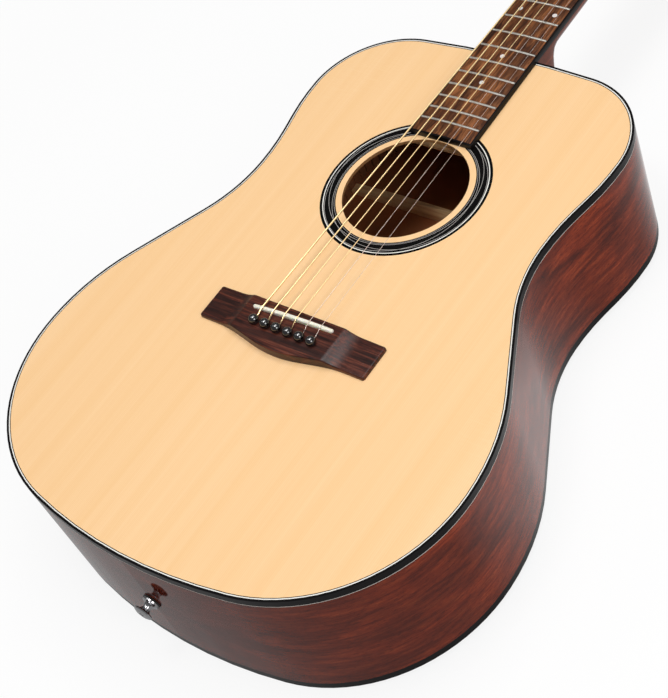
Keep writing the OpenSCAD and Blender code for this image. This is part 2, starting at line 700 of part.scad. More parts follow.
// Bridge: a plan with a swelling belly, cut by a front view with scooped wings
belly_steps = 12;
belly_hw = bridge_mid + 7;
belly_curve = 1.3;
module bridge_plan() polygon(concat(
    [[-bridge_w / 2, bridge_front_y], [-bridge_w / 2, bridge_back_y]],
    [for (i = [-belly_steps : belly_steps]) let (t = i / belly_steps)
        [t * belly_hw, bridge_back_y - belly * pow(cos(90 * t), belly_curve)]],
    [[bridge_w / 2, bridge_back_y], [bridge_w / 2, bridge_front_y]]));
ramp_steps = 8;
ramp_curve = 2.2;
ramp_foot = wing_h + 0.6;
function ramp_side(s) = [for (i = [0 : ramp_steps]) let (t = i / ramp_steps)
    [s * (bridge_mid + t * ramp_l), ramp_foot + (bridge_h - ramp_foot) * pow(1 - t, ramp_curve)]];
module bridge_front() polygon(concat(
    [[-bridge_w / 2, 0], [bridge_w / 2, 0], [bridge_w / 2, wing_h]],
    [for (i = [ramp_steps : -1 : 0]) ramp_side(1)[i]],
    ramp_side(-1),
    [[-bridge_w / 2, wing_h]]));
saddle_depth = 4;
module saddle_place() translate([0, saddle_line_y(0), 0]) rotate(atan(saddle_set_back / saddle_l)) children();
module bridge() color("#47231c") difference() {
    intersection() {
        slab(0, bridge_h + over) bridge_plan();
        translate([0, bridge_front_y + over, 0]) rotate([90, 0, 0])
            linear_extrude(bridge_l + belly + 2 * over) bridge_front();
    }
    saddle_place() translate([-saddle_l / 2 - eps, -saddle_t / 2 - eps, bridge_h - saddle_depth])
        cube([saddle_l + 2 * eps, saddle_t + 2 * eps, saddle_depth + over]);
    pin_holes();
}
module saddle() color("#efe8d2") intersection() {
    saddle_place() translate([-saddle_l / 2, 0, bridge_h - saddle_depth]) rotate([90, 0, 90])
        linear_extrude(saddle_l) polygon(concat(
            [[-saddle_t / 2, 0], [saddle_t / 2, 0]],
            [for (a = [0 : 15 : 180]) [saddle_t / 2 * cos(a),
                saddle_top - bridge_h + saddle_depth - saddle_t / 2 + saddle_t / 2 * sin(a)]]));
    translate([0, saddle_line_y(0) + 2 * saddle_t, saddle_top - board_arch_r]) rotate([90, 0, 0])
        cylinder(r = board_arch_r, h = 4 * saddle_t, $fn = round_fn);
}

collar_h = 1.6;
collar_lip = 0.5;
pin_tip_r = 1.9;
ball_sink = 0.72;           // how deep the ball sits in its collar
flute_depth = 0.35;
module bridge_pins() color("#121212") for (i = [0 : 5])
    translate([string_pin_x(i), pins_y, bridge_h]) difference() {
        union() {
            translate([0, 0, collar_h + pin_head_r - ball_sink]) sphere(r = pin_head_r);
            cylinder(r = pin_r + collar_lip, h = collar_h + ball_sink + collar_lip);
            translate([0, 0, -pin_l]) cylinder(r1 = pin_tip_r, r2 = pin_r, h = pin_l + eps);
        }
        // flute that leaves room for the string
        translate([-string_d[i] / 2 - string_slack, pin_r - flute_depth, -pin_l - over])
            cube([string_d[i] + 2 * string_slack, pin_r, pin_l + over + collar_h - slip / 2]);
    }

// Section of the neck at y, from its bass edge over the back to its treble edge. A section with
// heel = 0 is half round; with heel = 1 it is a deep block that narrows to the width of the heel cap.
neck_ring_n = 20;
heel_taper = 1 - heel_cap_w / (2 * board_hw(neck_y));
function bend(c, e) = sign(c) * pow(abs(c), e);
neck_round = 0.95;          // 1 gives an oval section, less a squarer one
heel_side = 0.5;            // how much squarer the heel is, at its sides and at its foot
heel_foot = 0.35;
function neck_ring(y, hw, t, heel = 0, z = 0, e = neck_round) =
    [for (i = [0 : neck_ring_n])
        let (a = 180 - 180 * i / neck_ring_n, w = 1 - heel * heel_taper * pow(sin(a), 2))
        [hw * w * bend(cos(a), e - heel_side * heel), y, z - t * pow(sin(a), e - heel_foot * heel)]];
neck_front_y = neck_y + 0.1;
heel_depth = neck_depth - 2;
heel_steps = [0, 0.06, 0.14, 0.24, 0.38, 0.56, 0.78];   // from the end of the cap to the end of the heel
heel_curve = 6;             // how quickly the heel runs out into the neck
heel_taper_curve = 0.6;
heel_past = 3;              // the heel is skinned a little past its flat foot, then cut
neck_steps = 6;
function neck_t(y) = neck_heel_t + (neck_nut_t - neck_heel_t) * (y - neck_front_y) / (nut_y - neck_front_y);
// The heel keeps its depth over the heel cap, then runs out into the neck
function heel_ring(y, f) =
    neck_ring(y, board_hw(y), neck_t(y) + (heel_depth + heel_past - neck_t(y)) * f, pow(f, heel_taper_curve));
module neck_and_heel() skin(concat(
    [heel_ring(neck_front_y, 1)],
    [for (u = heel_steps)
        heel_ring(neck_front_y + heel_cap_l + u * (heel_l - heel_cap_l), pow(1 - u, heel_curve))],
    [for (k = [0 : neck_steps]) let (y0 = neck_front_y + heel_l, y = y0 + (nut_y - y0) * k / neck_steps)
        neck_ring(y, board_hw(y), neck_t(y))]));
// The throat flows from the half-round neck into the flat back of the headstock
throat_l = 24;
throat_steps = 5;
function head_face_z(y) = head_z0 - (y - nut_back_y) * tan(head_angle);
throat_inset = 5;           // the throat ends inside the root of the headstock
module throat() skin([for (k = [0 : throat_steps])
    let (u = k / throat_steps, y = nut_y + (nut_t + throat_l) * u, s = u * u * (3 - 2 * u))
    let (top = min(0, head_face_z(y) - (veneer_t + eps) / cos(head_angle)))
    let (head_back = head_face_z(y) - (head_t - slip) / cos(head_angle))
    let (bottom = (1 - s) * -neck_nut_t + s * head_back - sin(180 * u))
    let (hw = board_hw(nut_y) + (head_root_w / 2 - throat_inset - board_hw(nut_y)) * u * u)
    neck_ring(y, hw, top - bottom, 0, top, neck_round - 0.5 * u)]);
// Outline of the headstock: it widens in a short curve behind the nut, then slowly to its crowned tip
root_curve = [[0.5, 6], [7.3, 19], [8.8, 24]];
head_corner = 14;
head_crown = 5;
corner_cut = 3;
crown_hw = head_tip_w / 2 - 3 * corner_cut;
crown_steps = 6;
root_side = [for (p = root_curve) [nut_w / 2 + p.x * (head_root_w - nut_w) / 2 / root_curve[2].x, p.y]];
module head_plan() polygon(concat(
    [[-nut_w / 2, 0], [nut_w / 2, 0]],
    root_side,
    [[head_tip_w / 2, head_l - head_corner], [head_tip_w / 2 - corner_cut, head_l - head_crown]],
    [for (i = [-crown_steps : crown_steps]) let (u = i / crown_steps)
        [-u * crown_hw, head_l - head_crown * u * u]],
    [[corner_cut - head_tip_w / 2, head_l - head_crown], [-head_tip_w / 2, head_l - head_corner]],
    [for (i = [len(root_side) - 1 : -1 : 0]) [-root_side[i].x, root_side[i].y]]));
module post_holes(r) for (k = [0 : 5]) at_post(k)
    translate([0, 0, -head_t - over]) cylinder(r = r, h = head_t + 2 * over);
module neck() color("#7a4630") difference() {
    union() {
        neck_and_heel();
        throat();
        head_frame() slab(-head_t, -veneer_t) head_plan();
        slab(-tongue_h, 0) tongue_plan(0);
    }
    // the bed of the nut, the flat foot of the heel and the channel of the truss rod
    translate([-head_root_w, nut_y, 0]) cube([2 * head_root_w, nut_t, head_t]);
    translate([-head_root_w, neck_y - over, -2 * neck_depth])
        cube([2 * head_root_w, heel_l, 2 * neck_depth - heel_depth + heel_cap_t]);
    let (y0 = neck_y - tongue_l - over)
        translate([-rod_r - slip, y0, rod_z - rod_r - slip])
            cube([2 * rod_r + 2 * slip, rod_y + rod_l + slip - y0, -rod_z + rod_r + slip + over]);
    post_holes(bushing_r);
}
cap_straight = 0.45;        // share of the heel cap's length before it rounds off
module heel_cap() color("#17120f") slab(-heel_depth, -heel_depth + heel_cap_t - seat_fit) polygon([
    [-heel_cap_w / 2, neck_front_y], [heel_cap_w / 2, neck_front_y],
    for (a = [0 : 15 : 180]) [heel_cap_w / 2 * bend(cos(a), 0.8),
        neck_front_y + heel_cap_l * (cap_straight + (1 - cap_straight) * bend(sin(a), 0.9))]]);

rod_l = 388;
rod_out = 8;                // how far the rod stands out of the neck block
rod_y = neck_y - neck_block_l - rod_out;
rod_nut_r = 4.5;
rod_nut_l = 12;
rod_grip = 6.5;             // how far the nut holds the rod
hex_r = 2.4;
hex_depth = 4.5;
module truss_rod() color("#8d9096") translate([0, rod_y, rod_z]) rotate([-90, 0, 0])
    cylinder(r = rod_r, h = rod_l);
module truss_rod_nut() color("#54575c")
    translate([0, rod_y + rod_grip - 0.5 - rod_nut_l, rod_z]) rotate([-90, 0, 0]) difference() {
        cylinder(r = rod_nut_r, h = rod_nut_l);
        translate([0, 0, rod_nut_l - rod_grip]) cylinder(r = rod_r + run_fit, h = rod_nut_l);
        translate([0, 0, -over]) cylinder(r = hex_r, h = hex_depth + over, $fn = 6);
    }

// The playing surface is part of a cylinder along the neck
module board_arch() translate([0, board_end_y - over, board_t - board_arch_r]) rotate([-90, 0, 0])
    cylinder(r = board_arch_r, h = nut_y - board_end_y + 2 * over, $fn = round_fn);
module board_plan(c, past = 0) polygon([
    [-board_hw(board_end_y) + c, board_end_y + c], [board_hw(board_end_y) - c, board_end_y + c],
    [board_hw(nut_y + past) - c, nut_y + past], [-board_hw(nut_y + past) + c, nut_y + past]]);
tang_t = 0.5;
tang_h = 1.6;
// the floor of a fret slot lies under the tang's ends, which follow the arch
slot_floor = board_t - tang_h - board_end_w * board_end_w / (8 * board_arch_r) - slip / 2;
module fingerboard() color("#6b4029") difference() {
    intersection() {
        slab(0, board_t + over) board_plan(board_binding_t + inlay_fit);
        board_arch();
    }
    for (n = [1 : fret_count])
        translate([-board_end_w / 2 - over, fret_y(n) - tang_t / 2 - eps, slot_floor])
            cube([board_end_w + 2 * over, tang_t + 2 * eps, board_t]);
    dots(eps, over);
}
module board_binding() color("#17120f") intersection() {
    slab(0, board_t + over) difference() {
        board_plan(0);
        board_plan(board_binding_t, over);
    }
    board_arch();
}
module fret(n) {
    hw = board_hw(fret_y(n)) - board_binding_t;
    half_a = asin(hw / board_arch_r);
    translate([0, fret_y(n), board_t - board_arch_r]) rotate([90, 0, 0]) rotate([0, 0, 90 - half_a])
        rotate_extrude(angle = 2 * half_a, $fn = round_fn) translate([board_arch_r, 0]) polygon(concat(
            [[-tang_h, -tang_t / 2], [inlay_fit, -tang_t / 2], [inlay_fit, -fret_w / 2]],
            [for (a = [-60 : 30 : 60]) [fret_h * cos(a), fret_w / 2 * sin(a) * 1.06]],
            [[inlay_fit, fret_w / 2], [inlay_fit, tang_t / 2], [-tang_h, tang_t / 2]]));
}
module frets() color("#c9c6bd") for (n = [1 : fret_count]) fret(n);

// Position dots lie midway between frets; the twelfth has two
dot_places = [3, 5, 7, 9, 12, 15, 17];
double_dot = 12;
double_dot_x = 16.2;
dot_t = 2;
module dots(c, lift) for (n = dot_places) for (s = n == double_dot ? [-1, 1] : [0])
    translate([s * double_dot_x, (fret_y(n) + fret_y(n - 1)) / 2, board_t - dot_t])
        cylinder(r = dot_r + c, h = dot_t + lift, $fn = 32);
module position_dots() color("#e8e4da") intersection() {
    translate([0, 0, seat_fit]) dots(0, over);
    board_arch();
}

nut_over_string = 0.5;
module nut() color("#efe8d2") difference() {
    intersection() {
        translate([-nut_w / 2, nut_y + seat_fit, seat_fit])
            cube([nut_w, nut_t - 2 * seat_fit, string_nut_z + nut_over_string]);
        translate([0, nut_y - over, string_nut_z + nut_over_string - board_arch_r]) rotate([-90, 0, 0])
            cylinder(r = board_arch_r, h = nut_t + 2 * over, $fn = round_fn);
    }
    for (i = [0 : 5])
        translate([string_nut_x(i) - string_d[i] / 2 - eps, nut_y - over, string_nut_z - eps])
            cube([string_d[i] + 2 * eps, nut_t + 2 * over, board_t]);
}
module headstock_veneer() color("#2a1b16") difference() {
    head_frame() slab(-veneer_t + seat_fit, 0) head_plan();
    translate([-head_tip_w, 0, -head_l]) cube([2 * head_tip_w, nut_back_y + eps, 2 * head_l]);
    post_holes(bushing_r);
}

// Strings: a tube swept along straight runs, with its rings across the bends
function tube_ring(p, t, r) =
    let (side = cross(t, [1, 0, 0]), u = side / norm(side), v = cross(u, t) / norm(t))
    [for (j = [0 : string_sides - 1]) let (a = 360 * j / string_sides) p + r * (cos(a) * u + sin(a) * v)];
module tube(path, r) {
    n = len(path) - 1;
    skin([for (i = [0 : n]) tube_ring(path[i], path[min(i + 1, n)] - path[max(i - 1, 0)], r)]);
}
ball_seat = 0.6;            // room between the bridge plate and the balls
function wind_x(k) = post_side - post_r - string_d[post_string(k)] * 1.5 - slip;
function string_post(i) = i < 3 ? i + 3 : 5 - i;
function string_path(i) =
    let (r = string_d[i] / 2, x = string_pin_x(i), k = string_post(i), sx = saddle_x(i))
    let (crest = crest_z(sx) + r + eps, sy = saddle_line_y(sx))
    let (end = head_to_row([post_sign(k) * wind_x(k), post_y(k), winding_z]))
    let (nut_in = [string_nut_x(i), nut_y, string_nut_z + r])
    let (nut_out = [string_nut_x(i), nut_back_y, string_nut_z + r])
    [[x, slot_y, plate_bottom - ball_seat], [x, slot_y, bridge_h / 2], [x, slot_y, bridge_h + r * 0.4],
     [x, slot_y + 0.5, bridge_h + r + 0.5],
     [sx, sy - saddle_t / 2 - slip, crest], [sx, sy + saddle_t / 2, crest],
     nut_in, nut_in + [0, 1, 0], nut_out - [0, 1, 0], nut_out + [0, slip, 0],
     nut_out + (end - nut_out) / 2, end];
module wound_strings() color("#c9a46a") for (i = [0 : 3]) tube(string_path(i), string_d[i] / 2);
module plain_strings() color("#cfd2d6") for (i = [4, 5]) tube(string_path(i), string_d[i] / 2);
module string_balls() color("#c8a24a") for (i = [0 : 5])
    translate([string_pin_x(i) - ball_l / 2, ball_y, plate_bottom - ball_seat - eps - ball_r])
        rotate([0, 90, 0]) cylinder(r = ball_r, h = ball_l, $fn = 24);

// Tuners, drawn for a post at the origin of the headstock frame with its button towards +X
housing_hw = 8;
housing_far = 10.5;
housing_near = -8.5;
housing_wall = 0.6;
shaft_r = 1.9;
boss_r = 3.6;
boss_past = 5;              // how far the boss of the shaft stands out of the housing
worm_half = 5.5;            // half of the room for the worm
worm_room = 0.4;            // room around the wheel and the worm
screw_r = 1.2;
screw_head_r = 2.3;
screw_head_h = 1.1;
screw_in = [housing_near + 2.8, -housing_hw + 2.6];
module housing() difference() {
    union() {
        translate([housing_near, -housing_hw, -head_t - housing_h])
            cube([housing_far - housing_near, housing_hw + worm_y + boss_r + housing_wall,
                housing_h - seat_fit]);
        translate([housing_near, worm_y, wheel_z]) rotate([0, 90, 0])
            cylinder(r = boss_r, h = housing_far - housing_near + boss_past);
    }
    translate([0, 0, -head_t - housing_h - over]) cylinder(r = post_r + run_fit, h = housing_h + 2 * over);
    translate([0, 0, wheel_z - wheel_h / 2 - slip])
        cylinder(r = wheel_r + tooth_out + worm_room, h = wheel_h + 2 * slip);
    translate([-worm_half, worm_y, wheel_z]) rotate([0, 90, 0])
        cylinder(r = worm_r + tooth_out + worm_room, h = 2 * worm_half);
    translate([0, worm_y, wheel_z]) rotate([0, 90, 0]) cylinder(r = shaft_r + run_fit, h = button_x);
    translate([screw_in.x, screw_in.y, -head_t - housing_h - over])
        cylinder(r = screw_r + 2 * run_fit, h = housing_h + 2 * over, $fn = 24);
}
module tuner_housings() color("#c9ccd0") for (k = [0 : 5]) at_post(k) housing();
washer_h = 0.8;
washer_r = 7;
bushing_nut_r = 5.9;
bushing_nut_h = 2.4;
bushing_l = 6;
module tuner_bushings() color("#d4d6da") for (k = [0 : 5]) at_post(k) difference() {
    union() {
        translate([0, 0, -bushing_l]) cylinder(r = bushing_r - bushing_fit, h = bushing_l + washer_h);
        translate([0, 0, seat_fit]) cylinder(r = washer_r, h = washer_h);
        translate([0, 0, washer_h]) cylinder(r = bushing_nut_r, h = bushing_nut_h, $fn = 6);
    }
    translate([0, 0, -bushing_l - over])
        cylinder(r = post_r + run_fit, h = bushing_l + washer_h + bushing_nut_h + 2 * over);
}
module tuner_screws() color("#d4d6da") for (k = [0 : 5]) at_post(k)
    translate([screw_in.x, screw_in.y, -head_t - housing_h]) {
        translate([0, 0, -screw_head_h]) cylinder(r = screw_head_r, h = screw_head_h - seat_fit, $fn = 24);
        translate([0, 0, -2 * eps]) cylinder(r = screw_r, h = housing_h, $fn = 24);
    }

wheel_half = 0.28;          // half of a tooth's thickness at the pitch radius
tooth_root = 1.9;           // thickness of a tooth at its root and at its tip, in shares of that
tooth_tip = 0.75;
function wheel_points() = [for (t = [0 : wheel_teeth - 1]) let (a = 360 * (t + 0.5) / wheel_teeth)
    let (da = wheel_half / wheel_r * 180 / PI)
    for (q = [[-tooth_root * da, -tooth_in], [-tooth_tip * da, tooth_out],
            [tooth_tip * da, tooth_out], [tooth_root * da, -tooth_in]])
        [(wheel_r + q[1]) * cos(a + q[0] + 90), (wheel_r + q[1]) * sin(a + q[0] + 90)]];
post_foot = 0.5;            // the post ends inside the housing's floor
waist_in = 0.4;             // the post is thinner where the string winds
waist_half = 2.6;
string_hole_r = 0.9;
string_hole_up = 4.5;
module tuner_post(k) color("#d4d6da") at_post(k) {
    d = string_d[post_string(k)];
    foot_z = -head_t - housing_h + post_foot;
    difference() {
        union() {
            translate([0, 0, foot_z]) cylinder(r = post_r, h = winding_z - waist_half - foot_z);
            translate([0, 0, winding_z - waist_half - slip])
                cylinder(r = post_r - waist_in, h = 2 * waist_half + 2 * slip);
            translate([0, 0, winding_z + waist_half])
                cylinder(r = post_r, h = post_top - winding_z - waist_half);
            translate([0, 0, wheel_z - wheel_h / 2]) linear_extrude(wheel_h) polygon(wheel_points());
        }
        translate([-2 * post_r, 0, winding_z + string_hole_up]) rotate([0, 90, 0])
            cylinder(r = string_hole_r, h = 4 * post_r, $fn = 24);
    }
    // turns of the string around the post
    for (j = [-1 : 1]) translate([0, 0, winding_z + j * (d + seat_fit)]) rotate_extrude()
        translate([post_r - waist_in + d / 2 + seat_fit, 0]) circle(d = d, $fn = 16);
}

// Worm: one thread whose flanks are thinner than the gap of the wheel
worm_turns = 3;
worm_seg = 16;
worm_phase = 270 - 180 * worm_turns;    // a turn of the thread lies in the wheel's gap at rest
thread_root = 0.3;          // half widths of the thread at its root and at its crest
thread_crest = 0.12;
thread_in = 0.5;
worm_core_r = worm_r - tooth_in + 0.25;
function worm_ring(i) = let (a = 360 * i / worm_seg, z = worm_pitch * i / worm_seg)
    [for (q = [[-thread_root, -thread_in], [-thread_crest, tooth_out],
            [thread_crest, tooth_out], [thread_root, -thread_in]])
        [(worm_r + q[1]) * cos(a), (worm_r + q[1]) * sin(a), z + q[0]]];
module worm_thread() translate([-worm_turns * worm_pitch / 2, worm_y, wheel_z])
    rotate([0, 90, 0]) rotate(worm_phase) skin([for (i = [0 : worm_turns * worm_seg]) worm_ring(i)]);
button_x = 22;
button_t = 8;
button_cheek_r = 13;        // the button's faces are the common part of two barrels
button_cheek_z = 9.5;
core_half = 4.5;
shaft_in = 6;
module button_cheek(s) translate([button_w / 2, button_l, s * button_cheek_z])
    rotate([90, 0, 0]) cylinder(r = button_cheek_r, h = 2 * button_l);
module tuner_button(k) color("#d4d6da") at_post(k) {
    worm_thread();
    translate([-core_half, worm_y, wheel_z]) rotate([0, 90, 0])
        cylinder(r = worm_core_r, h = core_half + shaft_in + over);
    translate([shaft_in, worm_y, wheel_z]) rotate([0, 90, 0])
        cylinder(r = shaft_r, h = button_x - shaft_in + 2 * over);
    translate([button_x, worm_y, wheel_z]) intersection() {
        translate([0, 0, -button_t / 2]) linear_extrude(button_t) polygon([for (a = [0 : 12 : 348])
            [button_w / 2 + button_w / 2 * cos(a), button_l / 2 * sin(a) * (1 + 0.12 * cos(2 * a))]]);
        button_cheek(1);
        button_cheek(-1);
    }
}

washer_t = 1.2;
strap_screw_l = 24;
strap_y = tail_y - washer_t - 2 * seat_fit;
strap_hole_r = strap_shank_r + 3 * run_fit;
screw_cone_h = 2.3;
screw_cone_r = 3.7;
cross_l = 4.8;              // the cross slot in the head of the strap screw
cross_w = 0.8;
cross_depth = 1.2;
module at_strap(y) translate([0, y, strap_z]) rotate([90, 0, 0]) children();
module strap_washer() color("#151515") at_strap(strap_y + washer_t) difference() {
    cylinder(r = strap_r - slip, h = washer_t);
    translate([0, 0, -over]) cylinder(r = strap_shank_r + slip, h = washer_t + 2 * over);
}
// The button is turned: a foot, a neck and a rounded rim, given as [radius / strap_r, height]
strap_foot = [[0.87, 0], [0.85, 1.2], [0.56, 2.4], [0.44, 4]];
strap_rim = [[0.44, 5], [0.6, 3.4], [0.93, 2.6], [1, 1.9], [0.96, 1.1], [0.7, 0.3]];
module strap_button() color("#c4c7cb") at_strap(strap_y - seat_fit) difference() {
    rotate_extrude() polygon(concat(
        [[0, 0]],
        [for (p = strap_foot) [strap_r * p.x, p.y]],
        [for (p = strap_rim) [strap_r * p.x, strap_l - p.y]],
        [[0, strap_l]]));
    translate([0, 0, -over]) cylinder(r = strap_hole_r, h = strap_l + 2 * over);
    translate([0, 0, strap_l - screw_cone_h - slip])
        cylinder(r1 = strap_hole_r, r2 = screw_cone_r + slip, h = screw_cone_h + slip + 2 * eps);
}
module strap_screw() color("#d4d6da") at_strap(strap_y - seat_fit) difference() {
    union() {
        translate([0, 0, strap_l - slip / 2 - screw_cone_h])
            cylinder(r1 = strap_shank_r, r2 = screw_cone_r, h = screw_cone_h - eps);
        translate([0, 0, strap_l - strap_screw_l])
            cylinder(r = strap_shank_r, h = strap_screw_l - screw_cone_h);
    }
    for (a = [0, 90]) rotate(a) translate([-cross_l / 2, -cross_w / 2, strap_l - slip / 2 - cross_depth])
        cube([cross_l, cross_w, 2 * cross_depth]);
}

soundboard();
back();
bass_side();
treble_side();
top_binding();
back_binding();
purfling_white();
purfling_black();
rosette_band();
rosette_lines();
top_linings();
back_linings();
neck_block();
tail_block();
x_brace_bass();
x_brace_treble();
upper_brace();
small_braces();
bridge_plate();
back_braces();
back_strip();
bridge();
saddle();
bridge_pins();
neck();
heel_cap();
truss_rod();
truss_rod_nut();
fingerboard();
board_binding();
frets();
position_dots();
nut();
headstock_veneer();
wound_strings();
plain_strings();
string_balls();
tuner_housings();
tuner_bushings();
tuner_screws();
for (k = [0 : 5]) tuner_post(k);
for (k = [0 : 5]) tuner_button(k);
strap_button();
strap_washer();
strap_screw();
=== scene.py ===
"""Looks of the acoustic guitar: the finish of every piece, the carved and turned pieces that
need finer shapes than their solids, a pale studio and the camera. Metres, in the frame's own axes:
the origin is the centre of the soundhole, +X is the treble side, +Y runs to the headstock."""

import math

import bmesh
import bpy
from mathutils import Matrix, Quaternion, Vector


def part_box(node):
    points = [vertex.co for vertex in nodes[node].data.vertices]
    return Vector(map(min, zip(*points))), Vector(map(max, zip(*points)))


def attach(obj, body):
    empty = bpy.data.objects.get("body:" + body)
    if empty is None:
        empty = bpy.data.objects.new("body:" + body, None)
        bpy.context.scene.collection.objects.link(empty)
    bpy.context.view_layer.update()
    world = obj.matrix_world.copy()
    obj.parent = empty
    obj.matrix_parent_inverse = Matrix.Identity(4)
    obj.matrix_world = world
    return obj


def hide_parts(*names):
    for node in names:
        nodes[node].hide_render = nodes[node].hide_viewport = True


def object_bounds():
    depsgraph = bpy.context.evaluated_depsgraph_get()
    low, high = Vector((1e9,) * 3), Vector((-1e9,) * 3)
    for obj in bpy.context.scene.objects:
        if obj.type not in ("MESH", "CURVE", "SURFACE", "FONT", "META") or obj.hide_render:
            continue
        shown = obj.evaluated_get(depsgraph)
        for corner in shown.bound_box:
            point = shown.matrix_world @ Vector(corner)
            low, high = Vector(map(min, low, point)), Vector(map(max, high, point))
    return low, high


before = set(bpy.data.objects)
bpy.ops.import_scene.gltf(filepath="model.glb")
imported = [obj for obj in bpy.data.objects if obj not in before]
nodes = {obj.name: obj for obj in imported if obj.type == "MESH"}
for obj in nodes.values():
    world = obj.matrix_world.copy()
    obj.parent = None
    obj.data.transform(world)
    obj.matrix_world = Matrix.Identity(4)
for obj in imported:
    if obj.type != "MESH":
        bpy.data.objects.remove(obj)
cad_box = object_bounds()
scene = bpy.context.scene

MM = 0.001


# ---------------------------------------------------------------- camera

CAMERA_AT = Vector((0.6683, -0.5657, 0.8107))
CAMERA_AIM = Vector((0.0398, -0.1490, 0.0))
CAMERA_ROLL = math.radians(-26.63)
# The sensor's width and the lens in millimetres
SENSOR = 36.0
LENS = 81.38


def add_camera():
    """The camera looks down on the body from the tail, on the treble side."""
    data = bpy.data.cameras.new("camera")
    data.sensor_width = SENSOR
    data.lens = LENS
    camera = bpy.data.objects.new("camera", data)
    scene.collection.objects.link(camera)
    camera.location = CAMERA_AT
    level = (CAMERA_AIM - CAMERA_AT).to_track_quat("-Z", "Y")
    roll = Quaternion((0, 0, 1), CAMERA_ROLL)
    camera.rotation_euler = (level @ roll).to_euler()
    scene.camera = camera


# ---------------------------------------------------------------- studio

WHITE = (1, 1, 1, 1)
SKY_LEVEL = 0.20        # strength of the sky's light
FLOOR_SIZE = 6.0
FLOOR_COLOR = (0.94, 0.94, 0.94, 1)
FLOOR_GLOW = 0.86       # share of plain white in the floor that the camera sees by the guitar
WHITE_FROM = 1.2        # how far from the middle the floor has faded to white
MIRRORED_GLOW = 0.90    # share of the levels below in the floor that gloss mirrors
# Painted reflections: how bright the floor glows in gloss only, at places along Y: bright beside the waist
# and under the neck
MIRRORED_LEVELS = (
    (-0.42, 0.43), (-0.22, 0.37), (-0.15, 1.0), (-0.04, 1.0),
    (0.03, 0.40), (0.10, 0.42), (0.17, 0.90), (0.24, 0.84),
)
LIGHTS_AIM = Vector((0, -0.1, 0))
# Each light's name, place, size and watts
LIGHTS = (
    ("overhead", (0.10, 0.25, 2.10), (1.3, 1.8), 27.5),
    ("lamp", (0.05, -0.35, 1.60), (0.34, 0.34), 5.5),
    ("left", (-1.4, -0.6, 2.0), (0.45, 0.45), 3),
    ("front", (1.75, -0.55, 1.15), (1.0, 1.0), 13),
)


def linear(red, green, blue):
    """A display colour of 0 to 255 as a linear one."""

    def channel(value):
        value /= 255
        return value / 12.92 if value <= 0.04045 else ((value + 0.055) / 1.055) ** 2.4

    return (channel(red), channel(green), channel(blue), 1)


class Finish:
    """A material, with the short calls that build its nodes."""

    def __init__(self, name):
        self.material = bpy.data.materials.new(name)
        self.material.use_nodes = True
        self.tree = self.material.node_tree
        self.tree.nodes.clear()

    def node(self, kind, inputs=None, **settings):
        made = self.tree.nodes.new("ShaderNode" + kind)
        for key, value in settings.items():
            setattr(made, key, value)
        for key, value in (inputs or {}).items():
            self.feed(made.inputs[key], value)
        return made

    def feed(self, socket, value):
        if isinstance(value, bpy.types.NodeSocket):
            self.tree.links.new(value, socket)
        else:
            socket.default_value = value

    def place(self, scale=(1, 1, 1), turn=(0, 0, 0), mirrored=False):
        """Places in metres times scale. mirrored folds them at the centre line first."""
        where = self.node("TexCoord").outputs["Object"]
        if mirrored:
            parts = self.node("SeparateXYZ", {"Vector": where}).outputs
            across = self.math("ABSOLUTE", parts["X"])
            folded = {"X": across, "Y": parts["Y"], "Z": parts["Z"]}
            where = self.node("CombineXYZ", folded).outputs[0]
        return self.node("Mapping", {"Vector": where, "Scale": scale, "Rotation": turn}).outputs[0]

    def math(self, operation, first, second=0.0):
        made = self.node("Math", operation=operation)
        self.feed(made.inputs[0], first)
        self.feed(made.inputs[1], second)
        return made.outputs[0]

    def noise(self, vector, detail, roughness=0.5, distortion=0.0):
        return self.node("TexNoise", {
            "Vector": vector, "Scale": 1.0, "Detail": detail,
            "Roughness": roughness, "Distortion": distortion,
        }).outputs["Fac"]

    def axis(self, vector, letter):
        return self.node("SeparateXYZ", {"Vector": vector}).outputs[letter]

    def facing_up(self):
        """1 on faces that look up, -1 on faces that look down."""
        return self.axis(self.node("TexCoord").outputs["Normal"], "Z")

    def ramp(self, value, stops):
        """value as a colour: stops are places from 0 to 1 with their colours."""
        made = self.node("ValToRGB", {"Fac": value})
        band = made.color_ramp
        while len(band.elements) < len(stops):
            band.elements.new(0.5)
        for element, (position, color) in zip(band.elements, stops):
            element.position = position
            element.color = color
        return made.outputs["Color"]

    def grey(self, value, low, high, floor=0.0, ceiling=1.0):
        """value between low and high, spread over floor to ceiling."""
        return self.node("MapRange", {
            "Value": value, "From Min": low, "From Max": high,
            "To Min": floor, "To Max": ceiling,
        }).outputs["Result"]

    def mix(self, share, first, second):
        """first, with this share of second."""
        made = self.node("Mix", data_type="RGBA")
        self.feed(made.inputs[0], share)
        self.feed(made.inputs[6], first)
        self.feed(made.inputs[7], second)
        return made.outputs[2]

    def bump(self, height, depth, strength):
        made = self.node("Bump", {"Height": height, "Distance": depth, "Strength": strength})
        return made.outputs["Normal"]

    def finish(self, color, roughness, normal, **constants):
        """The material, from these inputs of a shader and constants under its other sockets' names."""
        shader = self.node("BsdfPrincipled", {"Base Color": color, "Roughness": roughness, "Normal": normal})
        for key, value in constants.items():
            shader.inputs[key.replace("_", " ").title().replace("Ior", "IOR")].default_value = value
        out = self.node("OutputMaterial")
        self.tree.links.new(shader.outputs[0], out.inputs["Surface"])
        return self.material


def add_floor():
    """A pale floor under the guitar's back, which fades to white away from the guitar."""
    low = cad_box[0][2]
    mesh = bpy.data.meshes.new("floor")
    half = FLOOR_SIZE / 2
    corners = [(-half, -half), (half, -half), (half, half), (-half, half)]
    mesh.from_pydata([(x, y, low) for x, y in corners], [], [(0, 1, 2, 3)])
    floor = bpy.data.objects.new("floor", mesh)
    scene.collection.objects.link(floor)
    mesh.materials.append(floor_paint())


